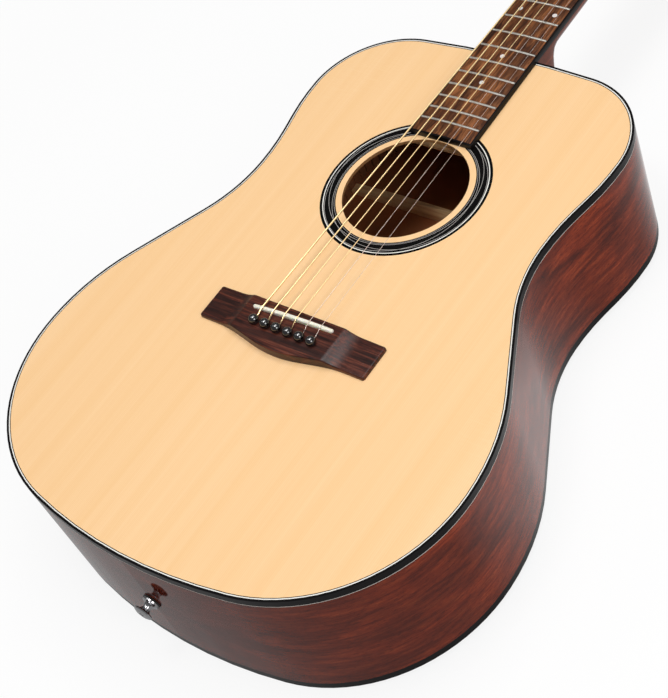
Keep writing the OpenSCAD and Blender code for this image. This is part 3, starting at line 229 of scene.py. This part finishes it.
def floor_paint():
    """Matt paint with its own glow towards the camera, and a glow in gloss that paints reflections into the
    glossy parts. The guitar's shadow stays on it.
    """
    paint = Finish("floor_paint")
    path = paint.node("LightPath").outputs
    reach = paint.node("VectorMath", {"Vector": paint.place()}, operation="LENGTH").outputs["Value"]
    backdrop = paint.grey(reach, WHITE_FROM / 2, WHITE_FROM, FLOOR_GLOW, 1.0)
    seen = paint.math("MULTIPLY", path["Is Camera Ray"], backdrop)
    mirrored = paint.math("MULTIPLY", path["Is Glossy Ray"], MIRRORED_GLOW)
    # painted reflections: the glow seen in gloss changes along Y
    first, last = MIRRORED_LEVELS[0][0], MIRRORED_LEVELS[-1][0]
    along = paint.axis(paint.place(), "Y")
    levels = [((y - first) / (last - first), (level, level, level, 1)) for y, level in MIRRORED_LEVELS]
    in_gloss = paint.ramp(paint.grey(along, first, last), levels)
    glow = paint.node("Emission", {"Color": paint.mix(path["Is Camera Ray"], in_gloss, WHITE)})
    matt = paint.node("BsdfDiffuse", {"Color": FLOOR_COLOR})
    blend = paint.node("MixShader", {"Fac": paint.math("ADD", seen, mirrored)})
    paint.tree.links.new(matt.outputs[0], blend.inputs[1])
    paint.tree.links.new(glow.outputs[0], blend.inputs[2])
    out = paint.node("OutputMaterial")
    paint.tree.links.new(blend.outputs[0], out.inputs["Surface"])
    return paint.material


def add_sky():
    """An even sky that lights softly and looks white to the camera."""
    world = bpy.data.worlds.new("sky")
    world.use_nodes = True
    tree = world.node_tree
    tree.nodes.clear()
    back = tree.nodes.new("ShaderNodeBackground")
    back.inputs["Color"].default_value = WHITE
    back.inputs["Strength"].default_value = SKY_LEVEL
    clear = tree.nodes.new("ShaderNodeBackground")
    clear.inputs["Color"].default_value = WHITE
    clear.inputs["Strength"].default_value = 1.0
    blend = tree.nodes.new("ShaderNodeMixShader")
    path = tree.nodes.new("ShaderNodeLightPath")
    out = tree.nodes.new("ShaderNodeOutputWorld")
    tree.links.new(path.outputs["Is Camera Ray"], blend.inputs[0])
    tree.links.new(back.outputs[0], blend.inputs[1])
    tree.links.new(clear.outputs[0], blend.inputs[2])
    tree.links.new(blend.outputs[0], out.inputs["Surface"])
    scene.world = world


def add_light(name, place, size, watts):
    """A rectangular soft light aimed at the middle of the body."""
    data = bpy.data.lights.new(name, "AREA")
    data.shape = "RECTANGLE"
    data.size, data.size_y = size
    data.energy = watts
    light = bpy.data.objects.new(name, data)
    scene.collection.objects.link(light)
    light.location = place
    light.rotation_euler = (LIGHTS_AIM - Vector(place)).to_track_quat("-Z", "Y").to_euler()


# ---------------------------------------------------------------- woods

# The scales given to place() say how many grains of a pattern lie in a metre along X, Y and Z.

RING_WIDTH = 1.35 * MM
RING_SWAY = 7           # in rings, how far the grain leans from side to side
# Depths of the relief that light picks out
FINE_PORE = 0.02 * MM
OPEN_PORE = 0.05 * MM
RAW_GRAIN = 0.04 * MM
TAIL_SHADE_FROM = -0.22     # along Y, where the painted shade on the sides begins, growing towards the tail
SPRUCE_STOPS = ((0.3, linear(247, 204, 150)), (0.7, linear(250, 210, 160)))
SPRUCE_FINE = linear(236, 182, 122)
SPRUCE_LATE = linear(216, 154, 94)
SPRUCE_SILK = linear(253, 220, 172)
SPRUCE_CUT = linear(150, 98, 54)
MAHOGANY_STOPS = (
    (0.28, linear(92, 31, 15)), (0.44, linear(120, 43, 21)),
    (0.56, linear(141, 54, 26)), (0.74, linear(166, 72, 36)),
)
MAHOGANY_DARK = linear(56, 18, 12)
MAHOGANY_PORE = linear(46, 15, 10)
MAHOGANY_LIGHT = linear(150, 86, 58)
MAHOGANY_RAW = linear(164, 100, 64)
ROSEWOOD_PLACES = (0.36, 0.46, 0.54, 0.66)
ROSEWOOD_PORE = linear(24, 12, 9)


def stretched(stretch, across, along):
    """Scales of a noise that changes quickly across the grain and slowly along it."""
    return [across * share + along for share in stretch]


def spruce(name, coat):
    """Pale soundboard spruce: straight year rings along Y, the same on both halves, with faint silk.
    Its cut edges are browner."""
    wood = Finish(name)
    fine = wood.noise(wood.place((900, 5, 900), mirrored=True), detail=3, roughness=0.6)
    broad = wood.noise(wood.place((110, 1.6, 110), mirrored=True), detail=2)
    sway = wood.noise(wood.place((9, 2.2, 9), mirrored=True), detail=1)
    across = wood.math("MULTIPLY", wood.axis(wood.place(mirrored=True), "X"), 1 / RING_WIDTH)
    ring = wood.math("FRACT", wood.math("ADD", across, wood.math("MULTIPLY", sway, RING_SWAY)))
    late = wood.grey(wood.math("POWER", ring, 4.0), 0, 1)
    silk = wood.noise(wood.place((60, 700, 60), (0, 0, 0.12)), detail=2)
    silk_where = wood.grey(wood.noise(wood.place((7, 4, 7)), detail=2), 0.52, 0.72)
    pale = wood.ramp(broad, SPRUCE_STOPS)
    tone = wood.mix(wood.grey(fine, 0.35, 0.75, 0, 0.18), pale, SPRUCE_FINE)
    tone = wood.mix(wood.math("MULTIPLY", late, 0.2), tone, SPRUCE_LATE)
    silk_share = wood.math("MULTIPLY", wood.grey(silk, 0.5, 0.75, 0, 0.25), silk_where)
    tone = wood.mix(silk_share, tone, SPRUCE_SILK)
    cut = wood.grey(wood.math("ABSOLUTE", wood.facing_up()), 0.3, 0.7, 0.85, 0)
    tone = wood.mix(cut, tone, SPRUCE_CUT)
    normal = wood.bump(wood.mix(0.5, fine, late), FINE_PORE, 0.4)
    return wood.finish(tone, 0.5, normal, specular_ior_level=0.2, coat_weight=coat, coat_roughness=0.3)


def mahogany(name, stretch, mirrored=False, coat_roughness=0.035, lighter=0.0, raw_inside=0.0,
             tail_shade=0.0):
    """Reddish brown mahogany. stretch sets how fast the grain changes along each axis. lighter is a
    share of a paler tone, raw_inside the share of bare wood on faces that look up into the body, and
    tail_shade the share of painted shade, in the darkest tone, at the tail."""
    wood = Finish(name)
    by_streak = wood.place(stretched(stretch, 280, 4), mirrored=mirrored)
    streak = wood.noise(by_streak, detail=4, roughness=0.66, distortion=0.4)
    by_ribbon = wood.place(stretched(stretch, 38, 7), mirrored=mirrored)
    ribbon = wood.noise(by_ribbon, detail=3, roughness=0.55, distortion=0.8)
    by_pore = wood.place(stretched(stretch, 1300, 110), mirrored=mirrored)
    pores = wood.noise(by_pore, detail=2, roughness=0.7)
    tone = wood.ramp(streak, MAHOGANY_STOPS)
    tone = wood.mix(wood.grey(ribbon, 0.34, 0.62, 0.72, 0), tone, MAHOGANY_DARK)
    tone = wood.mix(wood.grey(pores, 0.52, 0.68, 0, 0.6), tone, MAHOGANY_PORE)
    if lighter:
        tone = wood.mix(lighter, tone, MAHOGANY_LIGHT)
    # painted shade: the wood is mixed towards its darkest tone near the tail
    if tail_shade:
        along = wood.axis(wood.place(), "Y")
        tone = wood.mix(wood.grey(along, cad_box[0][1], TAIL_SHADE_FROM, tail_shade, 0), tone, MAHOGANY_DARK)
    if raw_inside:
        inside = wood.grey(wood.facing_up(), 0.5, 0.8)
        tone = wood.mix(wood.math("MULTIPLY", inside, raw_inside), tone, MAHOGANY_RAW)
    normal = wood.bump(pores, FINE_PORE, 0.3)
    return wood.finish(tone, 0.38, normal, specular_ior_level=0.0,
                       coat_weight=1.0, coat_roughness=coat_roughness, coat_ior=1.27)


def rosewood(name, stretch, stops, rough, coat=0.0, shine=0.2, fine=230):
    """Open-pored dark wood whose streaks run along the axis that stretch leaves slow. stops are its
    tones from dark to pale, and fine is how many streaks cross a metre."""
    wood = Finish(name)
    streak = wood.noise(wood.place(stretched(stretch, fine, 5)), detail=4, roughness=0.6, distortion=0.7)
    broad = wood.noise(wood.place(stretched(stretch, 150, 9)), detail=2, distortion=0.8)
    pores = wood.noise(wood.place(stretched(stretch, 1500, 60)), detail=2, roughness=0.7)
    tone = wood.ramp(streak, list(zip(ROSEWOOD_PLACES, stops)))
    tone = wood.mix(wood.grey(broad, 0.48, 0.60, 0, 0.7), tone, stops[0])
    pore = wood.grey(pores, 0.56, 0.68)
    tone = wood.mix(wood.math("MULTIPLY", pore, 0.55), tone, ROSEWOOD_PORE)
    normal = wood.bump(wood.math("MULTIPLY", pore, -1.0), OPEN_PORE, 0.6)
    roughness = wood.grey(streak, 0.3, 0.7, rough - 0.05, rough + 0.08)
    return wood.finish(tone, roughness, normal, specular_ior_level=shine,
                       coat_weight=coat, coat_roughness=0.25)


def plain_wood(name, pale, dark, stretch):
    """Bare inner wood with an even grain between two tones."""
    wood = Finish(name)
    grain = wood.noise(wood.place(stretched(stretch, 420, 5)), detail=3, roughness=0.6)
    broad = wood.noise(wood.place((40, 40, 40)), detail=2)
    tone = wood.ramp(grain, [(0.32, dark), (0.62, pale)])
    tone = wood.mix(wood.grey(broad, 0.4, 0.7, 0, 0.3), tone, dark)
    return wood.finish(tone, 0.62, wood.bump(grain, RAW_GRAIN, 0.5))


# ---------------------------------------------------------------- plastics, bone, metals

# Depths of the relief that light picks out
BUFFING = 0.004 * MM
BONE_STREAK = 0.01 * MM
WIRE_TURN = 0.05 * MM
NAP = 0.15 * MM
SIDE_LINE = linear(205, 200, 192)   # the line that plastic() can draw
BONE_STOPS = ((0.3, linear(248, 233, 206)), (0.6, linear(255, 245, 225)))
BONE_CLOUD = linear(255, 249, 234)
# the colour of the painted shade between the turns of the wound strings
BRONZE_PALE = linear(226, 192, 128)
BRONZE_GROOVE_SHADE = linear(150, 116, 70)
PEARL_STOPS = (
    (0.30, linear(196, 206, 200)), (0.45, linear(236, 232, 226)),
    (0.55, linear(226, 214, 218)), (0.70, linear(206, 222, 214)),
)
FELT_STOPS = ((0.3, linear(14, 13, 13)), (0.7, linear(46, 44, 43)))


def tinted(color, factor, lift=0.0):
    """A colour times factor, plus lift."""
    return [min(1, channel * factor + lift) for channel in color[:3]] + [1]


def plastic(name, color, rough, coat=0.6, shine=0.5, coat_ior=1.5, line_below=None):
    """Smooth plastic with the faint unevenness of buffing, and a pale line below a height where one
    is given."""
    skin = Finish(name)
    smear = skin.noise(skin.place((70, 70, 70)), detail=3, roughness=0.6)
    tone = skin.mix(skin.grey(smear, 0.35, 0.7, 0, 0.25), color, tinted(color, 1.5, 0.004))
    if line_below is not None:
        below = skin.math("LESS_THAN", skin.axis(skin.place(), "Z"), line_below)
        tone = skin.mix(below, tone, SIDE_LINE)
    fine = skin.noise(skin.place((1400, 1400, 1400)), detail=2)
    roughness = skin.grey(smear, 0.3, 0.7, rough, rough + 0.08)
    return skin.finish(tone, roughness, skin.bump(fine, BUFFING, 0.4), specular_ior_level=shine,
                       coat_weight=coat, coat_roughness=0.04, coat_ior=coat_ior)


def bone(name):
    """Polished bone: warm white with short faint streaks along its length."""
    skin = Finish(name)
    streak = skin.noise(skin.place((90, 900, 900)), detail=3, roughness=0.6)
    cloud = skin.noise(skin.place((150, 150, 150)), detail=2)
    tone = skin.ramp(streak, BONE_STOPS)
    tone = skin.mix(skin.grey(cloud, 0.4, 0.7, 0, 0.35), tone, BONE_CLOUD)
    return skin.finish(tone, 0.3, skin.bump(streak, BONE_STREAK, 0.4),
                       subsurface_weight=0.15, coat_weight=0.35, coat_roughness=0.15)


def metal(name, color, rough, brush=(500, 500, 500), worn=0.22):
    """Metal with fine polishing marks that run along the axis that brush leaves slow. worn is the share
    of its duller patches."""
    skin = Finish(name)
    marks = skin.noise(skin.place(brush), detail=3, roughness=0.6)
    smear = skin.noise(skin.place((55, 55, 55)), detail=2)
    tone = skin.mix(skin.grey(smear, 0.4, 0.75, 0, worn), color, tinted(color, 0.72))
    roughness = skin.grey(marks, 0.3, 0.7, rough, rough + 0.1)
    return skin.finish(tone, roughness, skin.bump(marks, BUFFING, 0.5), metallic=1.0)


def wound_metal(name, color, pitch):
    """Bronze wrapping: even turns of fine wire round the string, with painted shade in the grooves between
    the turns.
    """
    skin = Finish(name)
    along = skin.axis(skin.place(), "Y")
    turn = skin.math("SINE", skin.math("MULTIPLY", along, 2 * math.pi / pitch))
    height = skin.grey(turn, -1, 1)
    smear = skin.noise(skin.place((40, 12, 40)), detail=2)
    tone = skin.mix(skin.grey(smear, 0.35, 0.7, 0, 0.3), color, BRONZE_PALE)
    # painted shade: the low part of each turn is darkened towards the groove between the wires
    tone = skin.mix(skin.grey(turn, -1, -0.4, 0.2, 0), tone, BRONZE_GROOVE_SHADE)
    return skin.finish(tone, 0.28, skin.bump(height, WIRE_TURN, 0.5), metallic=0.9)


def pearl(name):
    """Mother-of-pearl: pale, with soft bands of pink and green."""
    skin = Finish(name)
    band = skin.noise(skin.place((260, 420, 260)), detail=2, distortion=1.5)
    tone = skin.ramp(band, PEARL_STOPS)
    return skin.finish(tone, 0.22, skin.bump(band, BONE_STREAK, 0.4), coat_weight=0.5, coat_roughness=0.08)


def felt(name):
    """Black felt with a short nap."""
    skin = Finish(name)
    nap = skin.noise(skin.place((1600, 1600, 1600)), detail=4, roughness=0.7)
    tone = skin.ramp(nap, FELT_STOPS)
    return skin.finish(tone, 0.9, skin.bump(nap, NAP, 0.8), sheen_weight=0.3, sheen_roughness=0.5)


# ---------------------------------------------------------------- the finish of each node

# How fast the grain changes along X, Y and Z
ALONG_X = (0.03, 1, 1)
ALONG_Y = (1, 0.03, 1)
ROUND_THE_RIM = (0.11, 0.11, 1)
BOARD_GRAIN = (1, 0.1, 1)

BINDING_BLACK = linear(13, 11, 12)
BOARD_STOPS = (linear(60, 31, 17), linear(101, 58, 32), linear(134, 82, 47), linear(160, 102, 62))
BRIDGE_STOPS = (linear(32, 11, 7), linear(58, 23, 15), linear(80, 34, 22), linear(108, 54, 36))
VENEER_STOPS = (linear(30, 17, 14), linear(56, 34, 27), linear(74, 47, 36), linear(92, 60, 46))
SILVER = (0.70, 0.68, 0.62, 1)
CHROME = (0.80, 0.81, 0.82, 1)
DARK_CHROME = (0.42, 0.42, 0.43, 1)
ROD_STEEL = (0.34, 0.33, 0.32, 1)
RIM_LINE = 0.5 * MM     # height of the pale line between the top binding and the sides
WINDING_PITCH = 0.42 * MM
TUNERS = range(1, 7)


def dress_nodes():
    """Gives every solid its finish, and returns the finishes by name."""
    black = plastic("black_plastic", BINDING_BLACK, 0.3, coat=0.3, shine=0.05, coat_ior=1.3)
    rim_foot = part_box("top_binding")[0][2]
    rim_black = plastic("rim_black", BINDING_BLACK, 0.3, coat=0.3, shine=0.05, coat_ior=1.3,
                        line_below=rim_foot + RIM_LINE)
    board_black = plastic("board_black", linear(16, 13, 13), 0.3, coat=0.5, shine=0.05, coat_ior=1.3)
    pin_black = plastic("pin_black", linear(6, 5, 5), 0.1, coat=1.0, shine=0.0, coat_ior=2.1)
    inlaid_black = plastic("inlaid_black", linear(7, 6, 6), 0.4, coat=0.0, shine=0.06)
    white = plastic("white_plastic", linear(240, 238, 230), 0.3)
    fine_white = plastic("fine_white", linear(178, 174, 170), 0.35, coat=0.1, shine=0.2)
    lining = plain_wood("lining_basswood", linear(164, 106, 68), linear(132, 82, 52), ALONG_Y)
    block = plain_wood("block_wood", linear(160, 104, 66), linear(126, 78, 48), ALONG_Y)
    brace = plain_wood("brace_spruce", linear(246, 210, 158), linear(222, 176, 122), ALONG_X)
    bridge_wood = rosewood("rosewood_bridge", ALONG_X, BRIDGE_STOPS, 0.34, shine=0.36, fine=560)
    chrome = metal("chrome", CHROME, 0.08)
    posts = [f"tuner_post_{k}" for k in TUNERS]
    buttons = [f"tuner_button_{k}" for k in TUNERS]
    finishes = {
        spruce("lacquered_spruce", 0.2): ["soundboard"],
        mahogany("mahogany_sides", ROUND_THE_RIM, tail_shade=0.6): ["bass_side", "treble_side"],
        mahogany("mahogany_back", ALONG_Y, mirrored=True, raw_inside=1.0): ["back"],
        mahogany("mahogany_neck", ALONG_Y, coat_roughness=0.06, lighter=0.2): ["neck"],
        black: ["back_binding", "heel_cap"],
        rim_black: ["top_binding"],
        board_black: ["board_binding"],
        pin_black: ["bridge_pins"],
        inlaid_black: ["purfling_black", "rosette_band"],
        white: ["purfling_white"],
        fine_white: ["rosette_lines"],
        lining: ["top_linings", "back_linings"],
        block: ["neck_block", "tail_block"],
        brace: ["x_brace_bass", "x_brace_treble", "upper_brace", "small_braces", "back_braces",
                "back_strip"],
        rosewood("rosewood_board", BOARD_GRAIN, BOARD_STOPS, 0.5, fine=300): ["fingerboard"],
        bridge_wood: ["bridge", "bridge_plate"],
        rosewood("rosewood_veneer", ALONG_Y, VENEER_STOPS, 0.36, coat=0.4): ["headstock_veneer"],
        bone("polished_bone"): ["nut", "saddle"],
        metal("fret_wire", SILVER, 0.34, (60, 900, 900)): ["frets"],
        pearl("pearl"): ["position_dots"],
        wound_metal("bronze_winding", linear(252, 224, 170), WINDING_PITCH): ["wound_strings"],
        metal("plain_wire", linear(206, 190, 180), 0.3, (900, 20, 900), worn=0.1): ["plain_strings"],
        metal("brass", linear(206, 164, 92), 0.25): ["string_balls"],
        metal("rod_steel", ROD_STEEL, 0.35): ["truss_rod", "truss_rod_nut"],
        felt("washer_felt"): ["strap_washer"],
        metal("dark_chrome", DARK_CHROME, 0.12): ["strap_button", "strap_screw"],
        chrome: ["tuner_housings", "tuner_bushings", "tuner_screws"] + posts + buttons,
    }
    for material, names in finishes.items():
        for name in names:
            mesh = nodes[name].data
            mesh.materials.clear()
            mesh.materials.append(material)
    return {material.name: material for material in finishes}


# ---------------------------------------------------------------- smooth faces and eased edges

SMOOTH_BELOW = math.radians(32)


def smoothing_group():
    """Geometry nodes that shade a mesh smooth, except across edges sharper than Angle."""
    group = bpy.data.node_groups.new("smooth_by_angle", "GeometryNodeTree")
    face = group.interface
    face.new_socket("Mesh", in_out="INPUT", socket_type="NodeSocketGeometry")
    angle = face.new_socket("Angle", in_out="INPUT", socket_type="NodeSocketFloat")
    angle.default_value = SMOOTH_BELOW
    face.new_socket("Mesh", in_out="OUTPUT", socket_type="NodeSocketGeometry")
    nodes_of, link = group.nodes, group.links.new
    start = nodes_of.new("NodeGroupInput")
    end = nodes_of.new("NodeGroupOutput")
    drop = nodes_of.new("GeometryNodeSetMeshNormal")
    drop.mode = "SHARPNESS"
    drop.inputs["Remove Custom"].default_value = True
    faces = nodes_of.new("GeometryNodeSetShadeSmooth")
    edges = nodes_of.new("GeometryNodeSetShadeSmooth")
    edges.domain = "EDGE"
    bend = nodes_of.new("GeometryNodeInputMeshEdgeAngle")
    soft = nodes_of.new("FunctionNodeCompare")
    soft.data_type = "FLOAT"
    soft.operation = "LESS_EQUAL"
    link(start.outputs["Mesh"], drop.inputs["Mesh"])
    link(drop.outputs["Mesh"], faces.inputs["Geometry"])
    link(faces.outputs["Geometry"], edges.inputs["Geometry"])
    link(bend.outputs["Unsigned Angle"], soft.inputs[0])
    link(start.outputs["Angle"], soft.inputs[1])
    link(soft.outputs["Result"], edges.inputs["Shade Smooth"])
    link(edges.outputs["Geometry"], end.inputs["Mesh"])
    return group


SMOOTH = smoothing_group()
SEAM = 0.01 * MM
FLAT_WITHIN = math.radians(0.5)
EASED_ABOVE = math.radians(50)
EASE_SEGMENTS = 3
# Width of the eased edge of each node that has one, in millimetres
EASED = {
    "fingerboard": 0.35, "nut": 0.5, "headstock_veneer": 0.5, "heel_cap": 0.7,
    "tuner_housings": 0.5, "board_binding": 0.3,
}


def ease_nodes():
    """Joins the seams of each solid's mesh, eases the edges that hands touch, and smooths the rest."""
    for name, piece in nodes.items():
        weld = piece.modifiers.new("weld", "WELD")
        weld.merge_threshold = SEAM
        if name in EASED:
            flat = piece.modifiers.new("flat", "DECIMATE")
            flat.decimate_type = "DISSOLVE"
            flat.angle_limit = FLAT_WITHIN
            edge = piece.modifiers.new("edge", "BEVEL")
            edge.width = EASED[name] * MM
            edge.segments = EASE_SEGMENTS
            edge.limit_method = "ANGLE"
            edge.angle_limit = EASED_ABOVE
        shade = piece.modifiers.new("shade", "NODES")
        shade.node_group = SMOOTH


# ---------------------------------------------------------------- carved and turned pieces

SAME_CORNER = 1e-7


def skinned(rings, closed=False):
    """Corners and faces of a skin over rings of equally many corners, capped unless closed."""
    count = len(rings[0])
    corners = [corner for ring in rings for corner in ring]
    faces = []
    spans = len(rings) if closed else len(rings) - 1
    for i in range(spans):
        here, there = i * count, (i + 1) % len(rings) * count
        for k in range(count):
            after = (k + 1) % count
            faces.append((here + k, here + after, there + after, there + k))
    if not closed:
        faces += [tuple(range(count)), tuple(range(len(corners) - count, len(corners)))]
    return corners, faces


def add_piece(name, skins, material, slot, *replaced):
    """One piece that rides on the guitar's body, made of one or more closed skins."""
    mesh = bpy.data.meshes.new(name)
    work = bmesh.new()
    for corners, faces in skins:
        made = [work.verts.new(corner) for corner in corners]
        for face in faces:
            work.faces.new([made[k] for k in face])
    bmesh.ops.remove_doubles(work, verts=work.verts, dist=SAME_CORNER)
    bmesh.ops.recalc_face_normals(work, faces=work.faces)
    work.to_mesh(mesh)
    work.free()
    mesh.materials.append(material)
    piece = bpy.data.objects.new(name, mesh)
    scene.collection.objects.link(piece)
    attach(piece, "guitar")
    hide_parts(*replaced)
    shade = piece.modifiers.new("shade", "NODES")
    shade.node_group = SMOOTH


def rounding(gap, radius):
    """How far a corner of this radius falls back at a gap from its end."""
    return radius - math.sqrt(radius ** 2 - (radius - min(gap, radius)) ** 2)


def tip_gaps(radius, steps):
    """Gaps from a rounded end, closer together towards it, at which sections are laid."""
    return [radius * (1 - math.cos(math.pi / 2 * k / steps)) for k in range(steps)]


CIRCLE_STEPS = 192
RING_EASE = 0.08 * MM


def round_ring(radius, width, low, high, centre=(0.0, 0.0)):
    """A flat ring about centre, with its upper edges eased."""
    inner, outer = radius - width / 2, radius + width / 2
    section = [
        (inner, low), (outer, low), (outer, high - RING_EASE),
        (outer - RING_EASE, high), (inner + RING_EASE, high), (inner, high - RING_EASE),
    ]
    rings = []
    for k in range(CIRCLE_STEPS):
        angle = 2 * math.pi * k / CIRCLE_STEPS
        across, along = math.cos(angle), math.sin(angle)
        rings.append([(centre[0] + r * across, centre[1] + r * along, z) for r, z in section])
    return skinned(rings, closed=True)


ROSETTE_IN = 55.0 * MM      # inner radius
ROSETTE_SEAT = 0.1 * MM     # the modelled ring's underside above the solid's
BRIGHT_LINE = 0.8 * MM
FINE_LINE = 0.40 * MM
BRIGHT_EDGE = 2.6 * MM      # from the rim to the middle of the bright line
FINE_EDGE = 1.1 * MM        # from the inner edge to the middle of the fine line
WOVEN_CIRCLES = 3
SWING = 3.6 * MM            # how far off centre each woven circle is
PROUD = 0.012 * MM          # lines stand in steps of this above the soundboard


def add_rosette(materials):
    """A black band with a bright line near its rim, a fine line inside and three woven circles."""
    low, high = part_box("rosette_band")
    outer = high[0]
    seat = low[2] + ROSETTE_SEAT
    middle, width = (ROSETTE_IN + outer) / 2, outer - ROSETTE_IN
    band = round_ring(middle, width, seat, PROUD)
    add_piece("rosette_ring", [band], materials["inlaid_black"], "black_binding", "rosette_band")
    bright, fine = outer - BRIGHT_EDGE, ROSETTE_IN + FINE_EDGE
    rim = round_ring(bright, BRIGHT_LINE, seat, 8 * PROUD)
    add_piece("rosette_rim_line", [rim], materials["white_plastic"], "white_lines", "rosette_lines")
    lines = [round_ring(fine, FINE_LINE, seat, 3 * PROUD)]
    for k in range(WOVEN_CIRCLES):
        angle = 2 * math.pi * k / WOVEN_CIRCLES
        centre = (SWING * math.cos(angle), SWING * math.sin(angle))
        lines.append(round_ring((bright + fine) / 2, FINE_LINE, seat, (4 + k) * PROUD, centre))
    add_piece("rosette_weave", lines, materials["fine_white"], "white_lines", "rosette_lines")


BRIDGE_WING_L = 29.5 * MM   # length of a wing along the strings
BRIDGE_MID = 43.0 * MM      # from the middle to where a wing's ramp begins
BRIDGE_RAMP = 17.0 * MM
BRIDGE_FOOT = 3.6 * MM      # height of a wing at the foot of its ramp
BRIDGE_TIP = 3.0 * MM       # height of a wing at its tip
BELLY_HALF = 60.0 * MM      # half the width of the belly
BRIDGE_EDGE = 1.1 * MM      # radius of the upper edges
BRIDGE_CORNER = 1.8 * MM    # radius of the corners, seen from above
BRIDGE_SCOOP = 2.2          # how quickly a ramp falls from the raised middle
BRIDGE_STEPS = 96
CORNER_STEPS = 6
EDGE_STEPS = 5


def bridge_height(across, top):
    """Height of the bridge at a distance from its middle."""
    if across <= BRIDGE_MID:
        return top
    share = (across - BRIDGE_MID) / BRIDGE_RAMP
    if share < 1:
        return BRIDGE_FOOT + (top - BRIDGE_FOOT) * (1 - share) ** BRIDGE_SCOOP
    return BRIDGE_FOOT


def add_bridge(materials):
    """The bridge: a raised middle, wings scooped down to their tips, a swelling belly, eased edges."""
    low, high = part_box("bridge")
    half, front, top = high[0], high[1], high[2]
    wing_back = front - BRIDGE_WING_L
    belly = wing_back - low[1]
    tip = tip_gaps(BRIDGE_CORNER, CORNER_STEPS)
    inner = half - BRIDGE_CORNER
    places = [-half + gap for gap in tip]
    places += [-inner + 2 * inner * k / BRIDGE_STEPS for k in range(BRIDGE_STEPS + 1)]
    places += [half - gap for gap in reversed(tip)]
    edge = [math.pi / 2 * k / EDGE_STEPS for k in range(EDGE_STEPS + 1)]
    eased = [(BRIDGE_EDGE * (1 - math.cos(a)), BRIDGE_EDGE * (1 - math.sin(a))) for a in edge]
    rings = []
    for x in places:
        across, gap = abs(x), half - abs(x)
        swell = belly * math.cos(math.pi / 2 * min(1, across / BELLY_HALF)) ** 2
        inset = rounding(gap, BRIDGE_CORNER)
        y0, y1 = front - inset, wing_back - swell + inset
        slope = max(0, (across - BRIDGE_MID - BRIDGE_RAMP) / (half - BRIDGE_MID - BRIDGE_RAMP))
        height = bridge_height(across, top) - slope * (BRIDGE_FOOT - BRIDGE_TIP)
        height -= rounding(gap, BRIDGE_EDGE)
        ring = [(x, y0, 0.0)]
        ring += [(x, y0 - back, height - down) for back, down in eased]
        ring += [(x, y1 + back, height - down) for back, down in reversed(eased)]
        ring.append((x, y1, 0.0))
        rings.append(ring)
    add_piece("carved_bridge", [skinned(rings)], materials["rosewood_bridge"], "rosewood", "bridge")


SADDLE_HALF_L = 36.5 * MM
SADDLE_HALF_T = 1.65 * MM
SADDLE_SET_BACK = 3.2 * MM  # how much nearer the tail its bass end is
SADDLE_ARCH = 400 * MM      # radius of the crest's arch
SADDLE_DROP = 1.2 * MM      # how far the crest falls at its ends
SADDLE_STEPS = 48
TIP_STEPS = 10
SADDLE_THIN = 0.02 * MM     # half thickness left at the very ends
CREST_STEPS = 10


def add_saddle(materials):
    """The saddle: a bone strip with a round crest and round ends, its crest arched like the frets."""
    low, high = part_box("saddle")
    middle = Vector((0.0, (low[1] + high[1]) / 2, 0.0))
    along = Vector((2 * SADDLE_HALF_L, SADDLE_SET_BACK, 0.0)).normalized()
    aside = Vector((-along.y, along.x, 0.0))
    tip = tip_gaps(SADDLE_HALF_T, TIP_STEPS)
    inner = SADDLE_HALF_L - SADDLE_HALF_T
    places = [-SADDLE_HALF_L + gap for gap in tip]
    places += [-inner + 2 * inner * k / SADDLE_STEPS for k in range(1, SADDLE_STEPS)]
    places += [SADDLE_HALF_L - gap for gap in reversed(tip)]
    rings = []
    for s in places:
        gap = SADDLE_HALF_L - abs(s)
        thick = max(SADDLE_THIN, SADDLE_HALF_T - rounding(gap, SADDLE_HALF_T))
        crest = high[2] - s * s / (2 * SADDLE_ARCH) - rounding(gap, SADDLE_DROP)
        spine = middle + along * s
        ring = [spine - aside * thick + Vector((0, 0, low[2]))]
        for k in range(CREST_STEPS + 1):
            angle = math.pi * (1 - k / CREST_STEPS)
            height = crest - thick * (1 - math.sin(angle))
            ring.append(spine + aside * (thick * math.cos(angle)) + Vector((0, 0, height)))
        ring.append(spine + aside * thick + Vector((0, 0, low[2])))
        rings.append(ring)
    add_piece("bone_saddle", [skinned(rings)], materials["polished_bone"], "bone", "saddle")


PIN_COUNT = 6
PIN_BALL_R = 4.0 * MM       # of the solids' balls too
PIN_RISE = 2.4 * MM         # the ball's centre above the bridge
# The collar's radius and height above the bridge, in millimetres
PIN_COLLAR = ((3.0, -0.3), (3.15, -0.1), (3.2, 0.1), (3.1, 0.3))
PIN_STEPS = 40
BALL_DEGREES = range(-35, 90, 5)    # heights on the ball at which its rings are laid


def add_pins(materials):
    """Six bridge pins, each turned with a low collar and a ball."""
    low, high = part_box("bridge_pins")
    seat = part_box("bridge")[1][2]
    y = high[1] - PIN_BALL_R
    first, last = low[0] + PIN_BALL_R, high[0] - PIN_BALL_R
    profile = [(r * MM, seat + z * MM) for r, z in PIN_COLLAR]
    for degrees in BALL_DEGREES:
        angle = math.radians(degrees)
        profile.append((PIN_BALL_R * math.cos(angle), seat + PIN_RISE + PIN_BALL_R * math.sin(angle)))
    turn = [2 * math.pi * k / PIN_STEPS for k in range(PIN_STEPS)]
    pins = []
    for k in range(PIN_COUNT):
        x = first + (last - first) * k / (PIN_COUNT - 1)
        rings = [[(x + r * math.cos(a), y + r * math.sin(a), z) for a in turn] for r, z in profile]
        pins.append(skinned(rings))
    add_piece("turned_pins", pins, materials["pin_black"], "black_pins", "bridge_pins")


# ---------------------------------------------------------------- make the scene

scene.view_settings.view_transform = "Standard"
add_camera()
add_floor()
add_sky()
for light_name, light_place, light_size, light_watts in LIGHTS:
    add_light(light_name, light_place, light_size, light_watts)
finishes = dress_nodes()
add_rosette(finishes)
add_bridge(finishes)
add_saddle(finishes)
add_pins(finishes)
ease_nodes()
